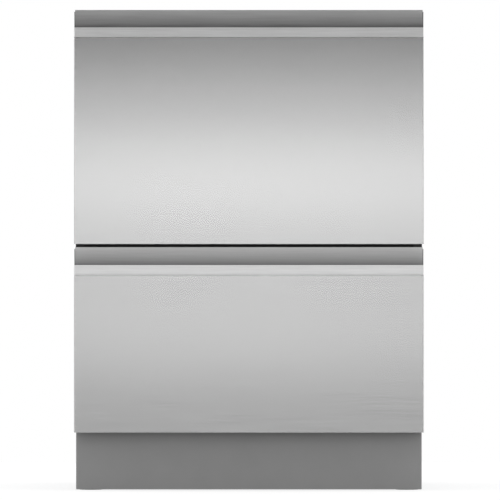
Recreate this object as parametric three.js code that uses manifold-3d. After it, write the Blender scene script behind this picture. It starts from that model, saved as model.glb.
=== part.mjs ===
// A double drawer dishwasher: two wash drawers on telescopic runners, one above the other, in a
// folded steel cabinet on levelling feet. Each drawer carries its tub, spray arm, racks, dispenser
// and buttons. The lid of each tub stays in the cabinet and comes down on the tub to close it.
// Millimetres, +Z up. X runs across the front, and the fronts face -Y. The origin is on the floor,
// at the middle of the width and of the depth.
import * as THREE from "three";
import { mergeVertices } from "three/addons/utils/BufferGeometryUtils.js";
import Module from "manifold-3d";

const wasm = await Module();
wasm.setup();

// ---------------------------------------------------------------- driving dimensions
const WIDTH = 599; // the two drawer fronts
const HEIGHT = 823; // floor to the top of the upper handle
const DEPTH = 573; // front face to the back of the cabinet
const FIT = 0.3; // gap between pieces that rest on each other
const SHEET = 1.2; // cabinet steel
const SKIN = 1.0; // stainless skin of a drawer front
const MOULDING = 3; // wall of a plastic moulding
const PAST = 1; // how far a cut runs past the face that it opens

// The drawer fronts
const FRONT_BOTTOM = 99.5; // lower edge of the lower front
const FRONT_GAP = 5.5; // shadow gap between the fronts
const FRONT_DEPTH = 31; // the folded sides of a front
const FRONT_CORNER = 2; // outer radius of the fold
const HANDLE_RISE = 30.5; // back of the finger recess that shows above the lip
const LIP_HEIGHT = 16.5; // brushed band along the top of each front
const LIP_THICKNESS = 3.6;
const LIP_JOINT = 1; // dark line between the lip and the skin
const RECESS_INSET = 2; // ends of the recess, in from the sides of the front
const RECESS_DEPTH = 28.6; // front face to the back of the recess
const SCOOP_DEPTH = 32; // lip top to the guide points under the scoop
const HANDLE_WALL = 2;
const FLANGE_INSET = 0.5; // flange of an inner door, in from the sides of the front
const FLANGE_RISE = 3; // the same flange, over the lower edge of the front
const FLANGE_DROP = 1; // and below the fold at the top of the handle

// The cabinet
const CABINET_INSET = 3.5; // sides of the cabinet, in from the sides of the fronts
const CABINET_DROP = 4; // top of the cabinet, below the top of the upper handle
const CABINET_BOTTOM = 58;
const SEAL_GAP = 1.7; // flange of an inner door to the cabinet
const FLANGE = 12;
const RAIL_DEPTH = 32;
const TOP_RAIL_HEIGHT = 14;
const MIDDLE_RAIL_HEIGHT = 37;
const RAIL_CLEARANCE = 2.5; // a control deck to the rail above it
const TRAY_WALL = 32;
const BACK_RISE = 2; // rear panel over the underside of the tray, and rear flanges over its wall
const FOOT_IN_FRONT = 28; // front feet, behind the front of the tray
const FOOT_AT_BACK = 25; // rear feet, before the back of the tray
const KICK_SETBACK = 52;
const KICK_INSET = 3; // ends of the kick, in from the sides of the fronts
const KICK_FOLD = 6; // kick to tray
const KICK_FLOOR_GAP = 1;
const DRAWER_CLEARANCE = 3; // a drawer over the kick below it

// The wash modules. Heights inside a module are from the underside of its motor.
const MODULE_BASE = 104.5;
const LID_ROOM = 65.25; // over the rim of a tub, for its lid and actuators
const FRONT_OVER_RIM = 20; // top of the lower front, over the rim of its tub
const DECK_DROP = 4; // control deck, below the top of its handle
const LID_TRAVEL = 6;
const LID_LANDING = 0.4; // left between seal and rim with the lid down
const RUNNER_SPACE = 17.3; // side panel to tub, taken up by a runner
const RUNNER_HEIGHT = 140;
const TUB_BACK_GAP = 28; // tub to the outside of the back
const TUB_WALL = 4;
const RIM_WIDTH = 14;
const SUMP_RADIUS = 99;
const SUMP_BOTTOM = 24;
const FLOOR_BOTTOM = 34;
const ARM_CLEARANCE = 39.5; // tip of the spray arm to the outside of the rim

// Racks
const WIRE = 4;
const TINE = 3.2;
const RACK_INSET = 42; // rack to the outside of the rim
const RACK_BASE = 78; // top of the base wires
const RACK_TOP = 152;
const RACK_FRONT_TOP = 110;
const RACK_COLUMNS = 8;
const RACK_ROWS = 5;
const TINE_TOP = 146;
const TINE_PITCH = 40;
const TINE_MARGIN = 58; // front and back of the rack to the tines
const TINE_COLUMNS = [1, 3, 5]; // base wires that carry tines
const CUP_RACK_WIDTH = 100;
const CUP_PIVOT_RADIUS = 2.8;
const CUP_PIVOT_RISE = 7; // pivot of the cup rack, over the top of the dish rack
const BASKET_WIDTH = 72;
const BASKET_TOP = 190;

// The levelling feet
const FOOT_TRAVEL = 57;
const FOOT_INSET = 23; // foot to side panel
const STEM_RADIUS = 5.5;
const THREAD_FIT = 0.3;

// ---------------------------------------------------------------- worked out from those
const CABINET_TOP = HEIGHT - CABINET_DROP;
const MODULE_PITCH = (CABINET_TOP - MODULE_BASE) / 2;
const TUB_HEIGHT = MODULE_PITCH - LID_ROOM;
const LOWER_FRONT_TOP = MODULE_BASE + TUB_HEIGHT + FRONT_OVER_RIM;
const MIDDLE_RAIL_BOTTOM = LOWER_FRONT_TOP - DECK_DROP + RAIL_CLEARANCE;
const FRAME_FRONT = FRONT_DEPTH + FIT;
const FRAME_BACK = FRAME_FRONT + MOULDING;
const CABINET_FRONT = FRAME_BACK + SEAL_GAP;
const SIDE_OUTER = WIDTH / 2 - CABINET_INSET;
const SIDE_INNER = SIDE_OUTER - SHEET;
const BETWEEN_SIDES = SIDE_INNER - FIT; // half the length of what spans the cabinet
const RAIL_FRONT = CABINET_FRONT + SHEET + FIT;
const RAIL_BACK = RAIL_FRONT + RAIL_DEPTH;
const BACK_INNER = DEPTH - SHEET;
const SIDE_BACK = BACK_INNER - FIT;
const TRAY_FRONT = KICK_SETBACK + KICK_FOLD;
const TOP_RAIL_TOP = CABINET_TOP - SHEET - FIT;
const TOP_RAIL_BOTTOM = TOP_RAIL_TOP - TOP_RAIL_HEIGHT;
const FOOT_X = SIDE_INNER - FOOT_INSET;
const FOOT_Y = [TRAY_FRONT + FOOT_IN_FRONT, SIDE_BACK - FOOT_AT_BACK];
const INNER_DOOR_BACK = RAIL_BACK + FIT;
const TUB_FRONT = INNER_DOOR_BACK + FIT;
const TUB_BACK = DEPTH - TUB_BACK_GAP;
const TUB_SIDE = SIDE_INNER - RUNNER_SPACE - FIT;
const FLOOR = FLOOR_BOTTOM + TUB_WALL;
const SPIN_Y = (TUB_FRONT + TUB_BACK) / 2; // axis of the spray arm, motor and sump
const ARM_REACH = Math.min(TUB_SIDE, (TUB_BACK - TUB_FRONT) / 2) - ARM_CLEARANCE;
const RACK_SIDE = TUB_SIDE - RACK_INSET;
const RACK_FRONT = TUB_FRONT + RACK_INSET;
const RACK_BACK = TUB_BACK - RACK_INSET;
const TINE_Y = [RACK_FRONT + TINE_MARGIN, RACK_BACK - TINE_MARGIN];
const TINES_IN_A_ROW = Math.floor((TINE_Y[1] - TINE_Y[0]) / TINE_PITCH) + 1;
const CUP_PIVOT_Z = RACK_TOP + CUP_PIVOT_RISE;

const LOWER = {
  name: "lower",
  base: MODULE_BASE,
  frontBottom: FRONT_BOTTOM,
  frontTop: LOWER_FRONT_TOP,
  deck: LOWER_FRONT_TOP - DECK_DROP,
};
const UPPER = {
  name: "upper",
  base: MODULE_BASE + MODULE_PITCH,
  frontBottom: LOWER_FRONT_TOP + FRONT_GAP,
  frontTop: HEIGHT,
  deck: TOP_RAIL_BOTTOM - RAIL_CLEARANCE,
};
const MODULES = [LOWER, UPPER];
const SIDES = [
  ["left", -1],
  ["right", 1],
];

// ---------------------------------------------------------------- materials
const finish = (color, roughness, metalness) =>
  new THREE.MeshStandardMaterial({ color, roughness, metalness });
const STAINLESS = finish(0xb9b9b9, 0.32, 1);
const BRUSHED = finish(0xa9a9a8, 0.4, 1);
const GALVANISED = finish(0xa7abad, 0.45, 1);
const BLACK_STEEL = finish(0x1b1b1c, 0.5, 0.3);
const KICK_STEEL = finish(0x828282, 0.5, 0.6);
const TUB_PLASTIC = finish(0xb4b7ba, 0.5, 0);
const LID_PLASTIC = finish(0xc9cccd, 0.5, 0);
const FRAME_PLASTIC = finish(0x3a3c3e, 0.5, 0);
const WIRE_NYLON = finish(0x8d9194, 0.4, 0);
const BASKET_PLASTIC = finish(0x7f8386, 0.45, 0);
const SEAL_RUBBER = finish(0x2b2c2d, 0.8, 0);
const MOTOR_PLASTIC = finish(0x24272a, 0.5, 0);
const DISPENSER_PLASTIC = finish(0xdfe1e2, 0.4, 0);
const BUTTON_CHROME = finish(0xc4c6c8, 0.25, 1);
const VALVE_PLASTIC = finish(0xe4e4e0, 0.5, 0);
const FOOT_PLASTIC = finish(0x2e2f31, 0.6, 0);

// ---------------------------------------------------------------- solid helpers
// A closed geometry as a solid that can be joined and cut.
function solid(geometry) {
  const bare = geometry.clone();
  bare.deleteAttribute("normal");
  bare.deleteAttribute("uv");
  const merged = mergeVertices(bare, 1e-4);
  const mesh = new wasm.Mesh({
    numProp: 3,
    vertProperties: merged.attributes.position.array,
    triVerts: new Uint32Array(merged.index.array),
  });
  return new wasm.Manifold(mesh);
}

// A solid as a geometry with flat faces. Faces that came to lie in one plane are merged first.
function geometryOf(made) {
  const mesh = made.asOriginal().simplify().getMesh();
  const positions = new Float32Array(mesh.numVert * 3);
  for (let i = 0; i < mesh.numVert; i++) {
    positions.set(mesh.vertProperties.subarray(i * mesh.numProp, i * mesh.numProp + 3), i * 3);
  }
  const shared = new THREE.BufferGeometry();
  shared.setAttribute("position", new THREE.BufferAttribute(positions, 3));
  shared.setIndex(new THREE.BufferAttribute(new Uint32Array(mesh.triVerts), 1));
  const flat = shared.toNonIndexed();
  flat.computeVertexNormals();
  return flat;
}

const join = (...parts) => parts.flat().reduce((whole, part) => whole.add(part));
const cut = (body, ...tools) => tools.flat().reduce((whole, tool) => whole.subtract(tool), body);

// A block between two corners, given as pairs of limits in any order.
function block([x0, x1], [y0, y1], [z0, z1]) {
  const shape = new THREE.BoxGeometry(Math.abs(x1 - x0), Math.abs(y1 - y0), Math.abs(z1 - z0));
  return solid(shape.translate((x0 + x1) / 2, (y0 + y1) / 2, (z0 + z1) / 2));
}

// A straight rod between two points.
function rod(from, to, radius, sides = 6) {
  const start = new THREE.Vector3(...from);
  const run = new THREE.Vector3(...to).sub(start);
  const shape = new THREE.CylinderGeometry(radius, radius, run.length(), sides);
  const turn = new THREE.Quaternion().setFromUnitVectors(
    new THREE.Vector3(0, 1, 0),
    run.clone().normalize(),
  );
  shape.applyQuaternion(turn);
  const middle = start.addScaledVector(run, 0.5);
  return solid(shape.translate(middle.x, middle.y, middle.z));
}

const outline = (points) => new THREE.Shape(points.map(([u, v]) => new THREE.Vector2(u, v)));
const flatExtrude = (shape, depth) =>
  new THREE.ExtrudeGeometry(shape, { depth, bevelEnabled: false, curveSegments: 6 });

// An outline of depth and height, run across the machine between two limits in any order.
function alongX(shape, limits) {
  const start = Math.min(...limits);
  const length = Math.max(...limits) - start;
  const turn = new THREE.Matrix4().makeBasis(
    new THREE.Vector3(0, 1, 0),
    new THREE.Vector3(0, 0, 1),
    new THREE.Vector3(1, 0, 0),
  );
  return solid(flatExtrude(shape, length).applyMatrix4(turn).translate(start, 0, 0));
}

// An outline of width and height, run front to back.
function alongY(shape, [y0, y1]) {
  return solid(flatExtrude(shape, y1 - y0).rotateX(Math.PI / 2).translate(0, y1, 0));
}

// An outline of width and depth, run upwards.
function alongZ(shape, [z0, z1]) {
  return solid(flatExtrude(shape, z1 - z0).translate(0, 0, z0));
}

// A profile of radius and height, turned about an upright axis.
function turned(profile, x, y, steps = 24) {
  const points = profile.map(([radius, height]) => new THREE.Vector2(radius, height));
  return solid(new THREE.LatheGeometry(points, steps).rotateX(Math.PI / 2).translate(x, y, 0));
}

const CORNER_STEPS = 4;

// Points round a rectangle with round corners, anticlockwise from above.
function ring(halfWidth, [y0, y1], radius, z) {
  const corners = [
    [halfWidth - radius, y1 - radius],
    [radius - halfWidth, y1 - radius],
    [radius - halfWidth, y0 + radius],
    [halfWidth - radius, y0 + radius],
  ];
  return corners.flatMap(([x, y], corner) =>
    Array.from({ length: CORNER_STEPS + 1 }, (_, step) => {
      const angle = ((corner + step / CORNER_STEPS) * Math.PI) / 2;
      return [x + radius * Math.cos(angle), y + radius * Math.sin(angle), z];
    }),
  );
}

// A skin through a stack of rings: up the outside and down the inside. An open stack is capped at
// both ends, and a closed one joins its last ring to its first.
function throughRings(rings, closed = false) {
  const count = rings[0].length;
  const positions = rings.flat(2);
  const faces = [];
  const spans = closed ? rings.length : rings.length - 1;
  for (let i = 0; i < spans; i++) {
    const low = i * count;
    const high = ((i + 1) % rings.length) * count;
    for (let j = 0; j < count; j++) {
      const next = (j + 1) % count;
      faces.push(low + j, low + next, high + next, low + j, high + next, high + j);
    }
  }
  if (!closed) {
    const last = (rings.length - 1) * count;
    for (let j = 1; j < count - 1; j++) {
      faces.push(0, j + 1, j, last, last + j, last + j + 1);
    }
  }
  const shape = new THREE.BufferGeometry();
  shape.setAttribute("position", new THREE.Float32BufferAttribute(positions, 3));
  shape.setIndex(faces);
  return solid(shape);
}

// ---------------------------------------------------------------- the part and its groups
const dishwasher = new THREE.Group();
dishwasher.position.y = -DEPTH / 2; // depths are written from the front face
const moduleGroups = new Map(
  MODULES.map((module) => {
    const group = new THREE.Group();
    group.position.z = module.base;
    dishwasher.add(group);
    return [module, group];
  }),
);

function place(name, made, material, parent = dishwasher) {
  const mesh = new THREE.Mesh(geometryOf(made), material);
  mesh.name = name;
  parent.add(mesh);
}

// ---------------------------------------------------------------- cabinet
const SWAGE_DEPTH = 3;
const SWAGE_HALF = 13;
const SWAGE_Y = [CABINET_FRONT + 54, SIDE_BACK - 51];
const RUNNER_HALF = 24; // half the height of a runner
const NOTCH_HALF = RUNNER_HALF + 3;
// One swage under the runner of each module, and one between the runner and the lid actuator.
const SWAGE_UNDER_RUNNER = 80;
const ACTUATOR_UNDER_RIM = 16; // lowest point of a lid actuator, below the rim of the tub
const SWAGE_HEIGHTS = [
  RUNNER_HEIGHT - SWAGE_UNDER_RUNNER,
  (RUNNER_HEIGHT + RUNNER_HALF + TUB_HEIGHT - ACTUATOR_UNDER_RIM) / 2,
];

// A side: sheet with folded flanges, swages pressed inwards and notches where the runners pass.
// Its top flange stops short of the front rail, which lies between the two sides.
function sidePanel(side) {
  const inner = side * SIDE_INNER;
  const outer = side * SIDE_OUTER;
  const overKick = MODULE_BASE - FIT;
  const plate = alongX(
    outline([
      [CABINET_FRONT, overKick],
      [CABINET_FRONT, CABINET_TOP],
      [SIDE_BACK, CABINET_TOP],
      [SIDE_BACK, CABINET_BOTTOM],
      [TRAY_FRONT, CABINET_BOTTOM],
      [TRAY_FRONT, overKick],
    ]),
    [inner, outer],
  );
  const flangeX = [inner, inner - side * FLANGE];
  const overTray = CABINET_BOTTOM + TRAY_WALL + BACK_RISE;
  const flanges = [
    block(flangeX, [CABINET_FRONT, CABINET_FRONT + SHEET], [overKick, CABINET_TOP]),
    block(flangeX, [RAIL_BACK + FIT, SIDE_BACK], [CABINET_TOP - SHEET, CABINET_TOP]),
    block(flangeX, [SIDE_BACK - SHEET, SIDE_BACK], [overTray, CABINET_TOP]),
  ];
  const notches = MODULES.map(({ base }) => {
    const z = base + RUNNER_HEIGHT;
    const y = [CABINET_FRONT - PAST, CABINET_FRONT + SHEET + PAST];
    return block([inner, inner - side * 2 * FLANGE], y, [z - NOTCH_HALF, z + NOTCH_HALF]);
  });
  const swageZ = MODULES.flatMap(({ base }) => SWAGE_HEIGHTS.map((height) => base + height));
  const pressed = (x, less) =>
    swageZ.map((z) =>
      block(x, [SWAGE_Y[0] + less, SWAGE_Y[1] - less], [z - SWAGE_HALF + less, z + SWAGE_HALF - less]),
    );
  const swages = pressed([inner + side * FIT, inner - side * SWAGE_DEPTH], 0);
  const troughs = pressed([outer + side * PAST, inner - side * (SWAGE_DEPTH - SHEET)], SHEET);
  return cut(join(plate, flanges, swages), notches, troughs);
}

const SERVICE_HALF = 34; // half the width of the two openings low in the back
const SERVICE_X = FOOT_X - SERVICE_HALF;
const SERVICE_SILL = CABINET_BOTTOM + 8;
const SERVICE_TOP = SERVICE_SILL + 40;
const BUSH = { radius: 10, top: CABINET_BOTTOM + 15 }; // the nut that a foot screws into
const THREAD_SIDES = 8;

const feetPlaces = [
  ["front", 0],
  ["rear", 1],
].flatMap(([end, i]) => SIDES.map(([name, side]) => [`${end}_${name}_foot`, side * FOOT_X, FOOT_Y[i]]));

// The openings for water, drain and power, which go through the back and the tray behind it.
function serviceOpenings(y) {
  return [-SERVICE_X, SERVICE_X].map((x) =>
    block([x - SERVICE_HALF, x + SERVICE_HALF], y, [SERVICE_SILL, SERVICE_TOP]),
  );
}

// The base: a folded drip tray between the sides, with a threaded bush over each foot.
function baseTray() {
  const half = BETWEEN_SIDES;
  const top = CABINET_BOTTOM + TRAY_WALL;
  const shell = cut(
    block([-half, half], [TRAY_FRONT, SIDE_BACK], [CABINET_BOTTOM, top]),
    block(
      [SHEET - half, half - SHEET],
      [TRAY_FRONT + SHEET, SIDE_BACK - SHEET],
      [CABINET_BOTTOM + SHEET, top + PAST],
    ),
  );
  const bushes = feetPlaces.map(([, x, y]) =>
    rod([x, y, CABINET_BOTTOM], [x, y, BUSH.top], BUSH.radius, THREAD_SIDES),
  );
  const bores = feetPlaces.map(([, x, y]) => {
    const z = [CABINET_BOTTOM - PAST, BUSH.top + PAST];
    return rod([x, y, z[0]], [x, y, z[1]], STEM_RADIUS + THREAD_FIT, THREAD_SIDES);
  });
  return cut(join(shell, bushes), bores, serviceOpenings([SIDE_BACK - SHEET - PAST, DEPTH]));
}

// A rail across the cabinet: a channel of folded sheet, open below or open to the back.
function channelRail(bottom, height, openBelow) {
  const top = bottom + height;
  const y = [RAIL_FRONT + SHEET, openBelow ? RAIL_BACK - SHEET : RAIL_BACK + PAST];
  const z = [openBelow ? bottom - PAST : bottom + SHEET, top - SHEET];
  return cut(
    block([-BETWEEN_SIDES, BETWEEN_SIDES], [RAIL_FRONT, RAIL_BACK], [bottom, top]),
    block([-BETWEEN_SIDES - PAST, BETWEEN_SIDES + PAST], y, z),
  );
}

const SCREW_SLOT = { x: 170, half: 14, halfWidth: 3 };

// The top rail has two slots for the screws that hold it to a worktop.
function topFrontRail() {
  const { x, half, halfWidth } = SCREW_SLOT;
  const middle = (RAIL_FRONT + RAIL_BACK) / 2;
  const y = [middle - halfWidth, middle + halfWidth];
  const z = [TOP_RAIL_TOP - SHEET - PAST, TOP_RAIL_TOP + PAST];
  const slots = [-x, x].map((at) => block([at - half, at + half], y, z));
  return cut(channelRail(TOP_RAIL_BOTTOM, TOP_RAIL_HEIGHT, true), slots);
}

const TOP_LIP = 14; // the fold along the top of the back
const FLANGE_GAP = 1; // its ends to the flanges of the sides
const FIELD_DEPTH = 4; // the pressed frames that stiffen the back
const FIELD_BAND = 16;
const FIELD_HALF = SERVICE_X - 18;
const FIELD_FOOT = 50; // over the underside of a module
const FIELD_HEAD = TUB_HEIGHT - 2;

// The back: a sheet with two pressed frames and the openings for water, drain and power.
function rearPanel() {
  const half = BETWEEN_SIDES;
  const sheet = block([-half, half], [BACK_INNER, DEPTH], [CABINET_BOTTOM + BACK_RISE, TOP_RAIL_TOP]);
  const lipX = half - FLANGE - FLANGE_GAP;
  const lip = block([-lipX, lipX], [BACK_INNER - TOP_LIP, DEPTH], [TOP_RAIL_TOP - SHEET, TOP_RAIL_TOP]);
  const frames = MODULES.map(({ base }) => {
    const field = (less, y) =>
      block(
        [less - FIELD_HALF, FIELD_HALF - less],
        y,
        [base + FIELD_FOOT + less, base + FIELD_HEAD - less],
      );
    const band = (less, [y0, y1]) =>
      cut(field(less, [y0, y1]), field(FIELD_BAND - less, [y0 - PAST, y1 + PAST]));
    return {
      raised: band(0, [BACK_INNER - FIELD_DEPTH, BACK_INNER + FIT]),
      trough: band(SHEET, [BACK_INNER - FIELD_DEPTH + SHEET, DEPTH + PAST]),
    };
  });
  const body = join(sheet, lip, frames.map(({ raised }) => raised));
  const openings = serviceOpenings([BACK_INNER - PAST, DEPTH + PAST]);
  return cut(body, frames.map(({ trough }) => trough), openings);
}

const KICK_CLIP = { shares: [-0.7, 0, 0.7], half: 16, side: 4, wall: 1, inset: 4 };

// The toe kick: folded sheet, with clips that reach the front wall of the tray.
function toeKick() {
  const x = [KICK_INSET - WIDTH / 2, WIDTH / 2 - KICK_INSET];
  const z = [KICK_FLOOR_GAP, MODULE_BASE - DRAWER_CLEARANCE];
  const back = TRAY_FRONT - FIT;
  const { half, side, wall, inset } = KICK_CLIP;
  const clipZ = [CABINET_BOTTOM + inset, CABINET_BOTTOM + TRAY_WALL - inset];
  const clips = KICK_CLIP.shares.map((share) => {
    const middle = share * x[1];
    const hollow = half - side;
    return cut(
      block([middle - half, middle + half], [KICK_SETBACK + SHEET / 2, back], clipZ),
      block(
        [middle - hollow, middle + hollow],
        [KICK_SETBACK + SHEET + wall, back - wall],
        [clipZ[0] - PAST, clipZ[1] + PAST],
      ),
    );
  });
  return join(
    block(x, [KICK_SETBACK, KICK_SETBACK + SHEET], z),
    block(x, [KICK_SETBACK, back], [z[1] - SHEET, z[1]]),
    block(x, [KICK_SETBACK, back], [z[0], z[0] + SHEET]),
    clips,
  );
}

const PAD = { radius: 20, edge: 4, neck: 10, height: 10 };
const HEXAGON = { radius: 9, top: 19 };
const STEM_TOP = CABINET_BOTTOM + FOOT_TRAVEL + 8;

// A foot: pad, hexagon for the spanner and threaded stem.
function levellingFoot(x, y) {
  const profile = [
    [0, 0],
    [PAD.radius, 0],
    [PAD.radius, PAD.edge],
    [PAD.neck, PAD.height],
    [0, PAD.height],
  ];
  const pad = turned(profile, x, y, 12);
  const hexagon = rod([x, y, PAD.height - PAST], [x, y, HEXAGON.top], HEXAGON.radius, 6);
  const stem = rod([x, y, HEXAGON.top - PAST], [x, y, STEM_TOP], STEM_RADIUS, THREAD_SIDES);
  return join(pad, hexagon, stem);
}

// The valve, by how far each piece of it reaches from the back of the cabinet.
const VALVE = {
  axis: 20, // over its seat on the tray
  body: { from: 45, to: 17, half: 18, height: 34 },
  coil: { from: 73, to: 44, radius: 14 },
  terminals: { from: 67, to: 53, half: 7, top: 38 },
  collar: { from: 18, to: 13, radius: 16 },
  spigot: { from: 15, to: 1, radius: 13 },
  bore: { from: 11, to: 0, radius: 9.5 },
};

// The inlet valve: solenoid on a body, with a threaded spigot that points out of the back.
function inletValve() {
  const x = -SERVICE_X;
  const seat = CABINET_BOTTOM + SHEET + FIT;
  const z = seat + VALVE.axis;
  const round = ({ from, to, radius }) => rod([x, DEPTH - from, z], [x, DEPTH - to, z], radius, 10);
  const square = ({ from, to, half }, heights) =>
    block([x - half, x + half], [DEPTH - from, DEPTH - to], heights);
  const body = square(VALVE.body, [seat, seat + VALVE.body.height]);
  const terminals = square(VALVE.terminals, [z, seat + VALVE.terminals.top]);
  const turnedPieces = [VALVE.coil, VALVE.collar, VALVE.spigot].map(round);
  return cut(join(body, terminals, turnedPieces), round(VALVE.bore));
}

// ---------------------------------------------------------------- drawer fronts
// A channel round the front and both sides, with folded corners, seen from above.
function frontChannel(wall, sideWall) {
  const half = WIDTH / 2;
  const r = FRONT_CORNER;
  const shape = new THREE.Shape();
  shape.moveTo(-half, FRONT_DEPTH);
  shape.lineTo(-half, r);
  shape.absarc(-half + r, r, r, Math.PI, 1.5 * Math.PI, false);
  shape.lineTo(half - r, 0);
  shape.absarc(half - r, r, r, -0.5 * Math.PI, 0, false);
  shape.lineTo(half, FRONT_DEPTH);
  shape.lineTo(half - sideWall, FRONT_DEPTH);
  shape.lineTo(half - sideWall, wall);
  shape.lineTo(-half + sideWall, wall);
  shape.lineTo(-half + sideWall, FRONT_DEPTH);
  return shape;
}

// The stainless skin, folded back along both sides and the bottom.
function frontPanel({ frontBottom, frontTop, base }) {
  const bottom = frontBottom - base;
  const top = frontTop - base - HANDLE_RISE - LIP_HEIGHT - LIP_JOINT;
  const skin = alongZ(frontChannel(SKIN, SKIN), [bottom, top]);
  const half = WIDTH / 2 - SKIN / 2;
  const fold = block([-half, half], [SKIN / 2, FRONT_DEPTH], [bottom, bottom + SKIN]);
  return join(skin, fold);
}

const LIP_DROP = 1; // upper edge of the strip behind the lip, below its top
const SCOOP_START = LIP_HEIGHT - 3; // straight back of the lip, below its top
const SCOOP_LEAN = 5; // guide point under the scoop, before the back of the recess
const RISE_START = { before: 1.6, below: 2 }; // where the scoop turns up, from the back of the recess
const RISE_GUIDE = 12;
const RISE_END = 6; // straight top of the strip

// The handle: a lip flush with the skin, and a strip that dips behind it and rises to the top.
function handleRail({ frontTop, base }) {
  const lipTop = frontTop - base - HANDLE_RISE;
  const lip = alongZ(frontChannel(LIP_THICKNESS, RECESS_INSET), [lipTop - LIP_HEIGHT, lipTop]);
  const inside = new THREE.Path();
  inside.moveTo(LIP_THICKNESS, -LIP_DROP);
  inside.lineTo(LIP_THICKNESS, -SCOOP_START);
  inside.bezierCurveTo(
    LIP_THICKNESS, -SCOOP_DEPTH,
    RECESS_DEPTH - SCOOP_LEAN, -SCOOP_DEPTH,
    RECESS_DEPTH - RISE_START.before, -RISE_START.below,
  );
  inside.quadraticCurveTo(RECESS_DEPTH, RISE_GUIDE, RECESS_DEPTH, HANDLE_RISE - RISE_END);
  inside.lineTo(RECESS_DEPTH, HANDLE_RISE);
  const face = inside.getPoints(7);
  const back = face.map((point, i) => {
    const before = face[Math.max(i - 1, 0)];
    const after = face[Math.min(i + 1, face.length - 1)];
    const along = after.clone().sub(before).normalize();
    return new THREE.Vector2(point.x + along.y * HANDLE_WALL, point.y - along.x * HANDLE_WALL);
  });
  const strip = new THREE.Shape([...face, ...back.reverse()]);
  const half = WIDTH / 2 - RECESS_INSET + FIT;
  const rail = alongX(strip, [-half, half]).translate([0, 0, lipTop]);
  const top = frontTop - base;
  const fold = block([-half, half], [RECESS_DEPTH, FRONT_DEPTH], [top - HANDLE_WALL, top]);
  return join(lip, rail, fold);
}

const BUTTON_RADIUS = 7;
const BUTTON_FIT = 0.3;
const BUTTON_INSET = 87.5; // middle of a button, in from the side of the front
const BUTTON_X = [
  ["power", BUTTON_INSET - WIDTH / 2],
  ["start", WIDTH / 2 - BUTTON_INSET],
];
const BUTTON_Y = (FRAME_BACK + INNER_DOOR_BACK) / 2;
const BUTTON = { rise: 1.4, collar: 2, collarHeight: 1.5, stem: 3, depth: 8 };
const INNER_DOOR_HALF = TUB_SIDE - 3.2;
const DOOR_RIB = { shares: [-0.66, -0.22, 0.22, 0.66], half: 1.25, under: 40, behind: 8 };

// The inner door: a flange behind the skin and a hollow box with the control deck on top.
function doorFrame({ frontBottom, frontTop, base, deck }) {
  const half = WIDTH / 2 - FLANGE_INSET;
  const top = deck - base;
  const flange = block(
    [-half, half],
    [FRAME_FRONT, FRAME_BACK],
    [frontBottom - base + FLANGE_RISE, frontTop - base - HANDLE_WALL - FLANGE_DROP],
  );
  const shell = block([-INNER_DOOR_HALF, INNER_DOOR_HALF], [FRAME_FRONT, INNER_DOOR_BACK], [0, top]);
  const hollow = block(
    [-INNER_DOOR_HALF + MOULDING, INNER_DOOR_HALF - MOULDING],
    [FRAME_FRONT - PAST, INNER_DOOR_BACK - MOULDING],
    [MOULDING, top - MOULDING],
  );
  const holes = BUTTON_X.map(([, x]) => {
    const z = [top - MOULDING - PAST, top + PAST];
    return rod([x, BUTTON_Y, z[0]], [x, BUTTON_Y, z[1]], BUTTON_RADIUS + BUTTON_FIT, 12);
  });
  const ribs = DOOR_RIB.shares.map((share) => {
    const x = share * INNER_DOOR_HALF;
    const y = [FRAME_BACK + DOOR_RIB.behind, INNER_DOOR_BACK - MOULDING / 2];
    return block([x - DOOR_RIB.half, x + DOOR_RIB.half], y, [MOULDING / 2, top - DOOR_RIB.under]);
  });
  return cut(join(cut(join(flange, shell), hollow), ribs), holes);
}

// A push button: a round cap that stands a little proud, a collar under the deck and a stem.
function pushButton(x, { deck, base }) {
  const top = deck - base + BUTTON.rise;
  const collarTop = deck - base - MOULDING - FIT;
  const collarBottom = collarTop - BUTTON.collarHeight;
  const collarRadius = BUTTON_RADIUS + BUTTON.collar;
  const profile = [
    [0, collarTop - BUTTON.depth],
    [BUTTON.stem, collarTop - BUTTON.depth],
    [BUTTON.stem, collarBottom],
    [collarRadius, collarBottom],
    [collarRadius, collarTop],
    [BUTTON_RADIUS, collarTop],
    [BUTTON_RADIUS, top],
    [0, top],
  ];
  return turned(profile, x, BUTTON_Y, 12);
}

// ---------------------------------------------------------------- tub and what is in it
// Each station of the tub is a rounded rectangle: inset from the outside of the rim at the sides
// and at the ends, corner radius and height.
const TUB_OUTSIDE = [
  [34, 26, 40, FLOOR_BOTTOM],
  [22, 18, 46, FLOOR_BOTTOM + 14],
  [10, 9, 40, TUB_HEIGHT - 20],
  [0, 0, 36, TUB_HEIGHT - 12],
  [0, 0, 36, TUB_HEIGHT],
];
const WALL_HEAD = { inset: RIM_WIDTH, z: TUB_HEIGHT - 20 };
const WALL_FOOT = { inset: 22, z: FLOOR + 14 };
const TUB_INSIDE = [
  [RIM_WIDTH, RIM_WIDTH, 30, TUB_HEIGHT],
  [RIM_WIDTH, WALL_HEAD.inset, 34, WALL_HEAD.z],
  [25, WALL_FOOT.inset, 42, WALL_FOOT.z],
  [36, 31, 36, FLOOR],
];
const LEDGE = { y: [TUB_FRONT + 30, TUB_BACK - 45], half: 17, root: 19 };
const BACK_RIB = { count: 5, pitch: 75, half: 1.5, foot: 70, head: TUB_HEIGHT - 10 };

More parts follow.
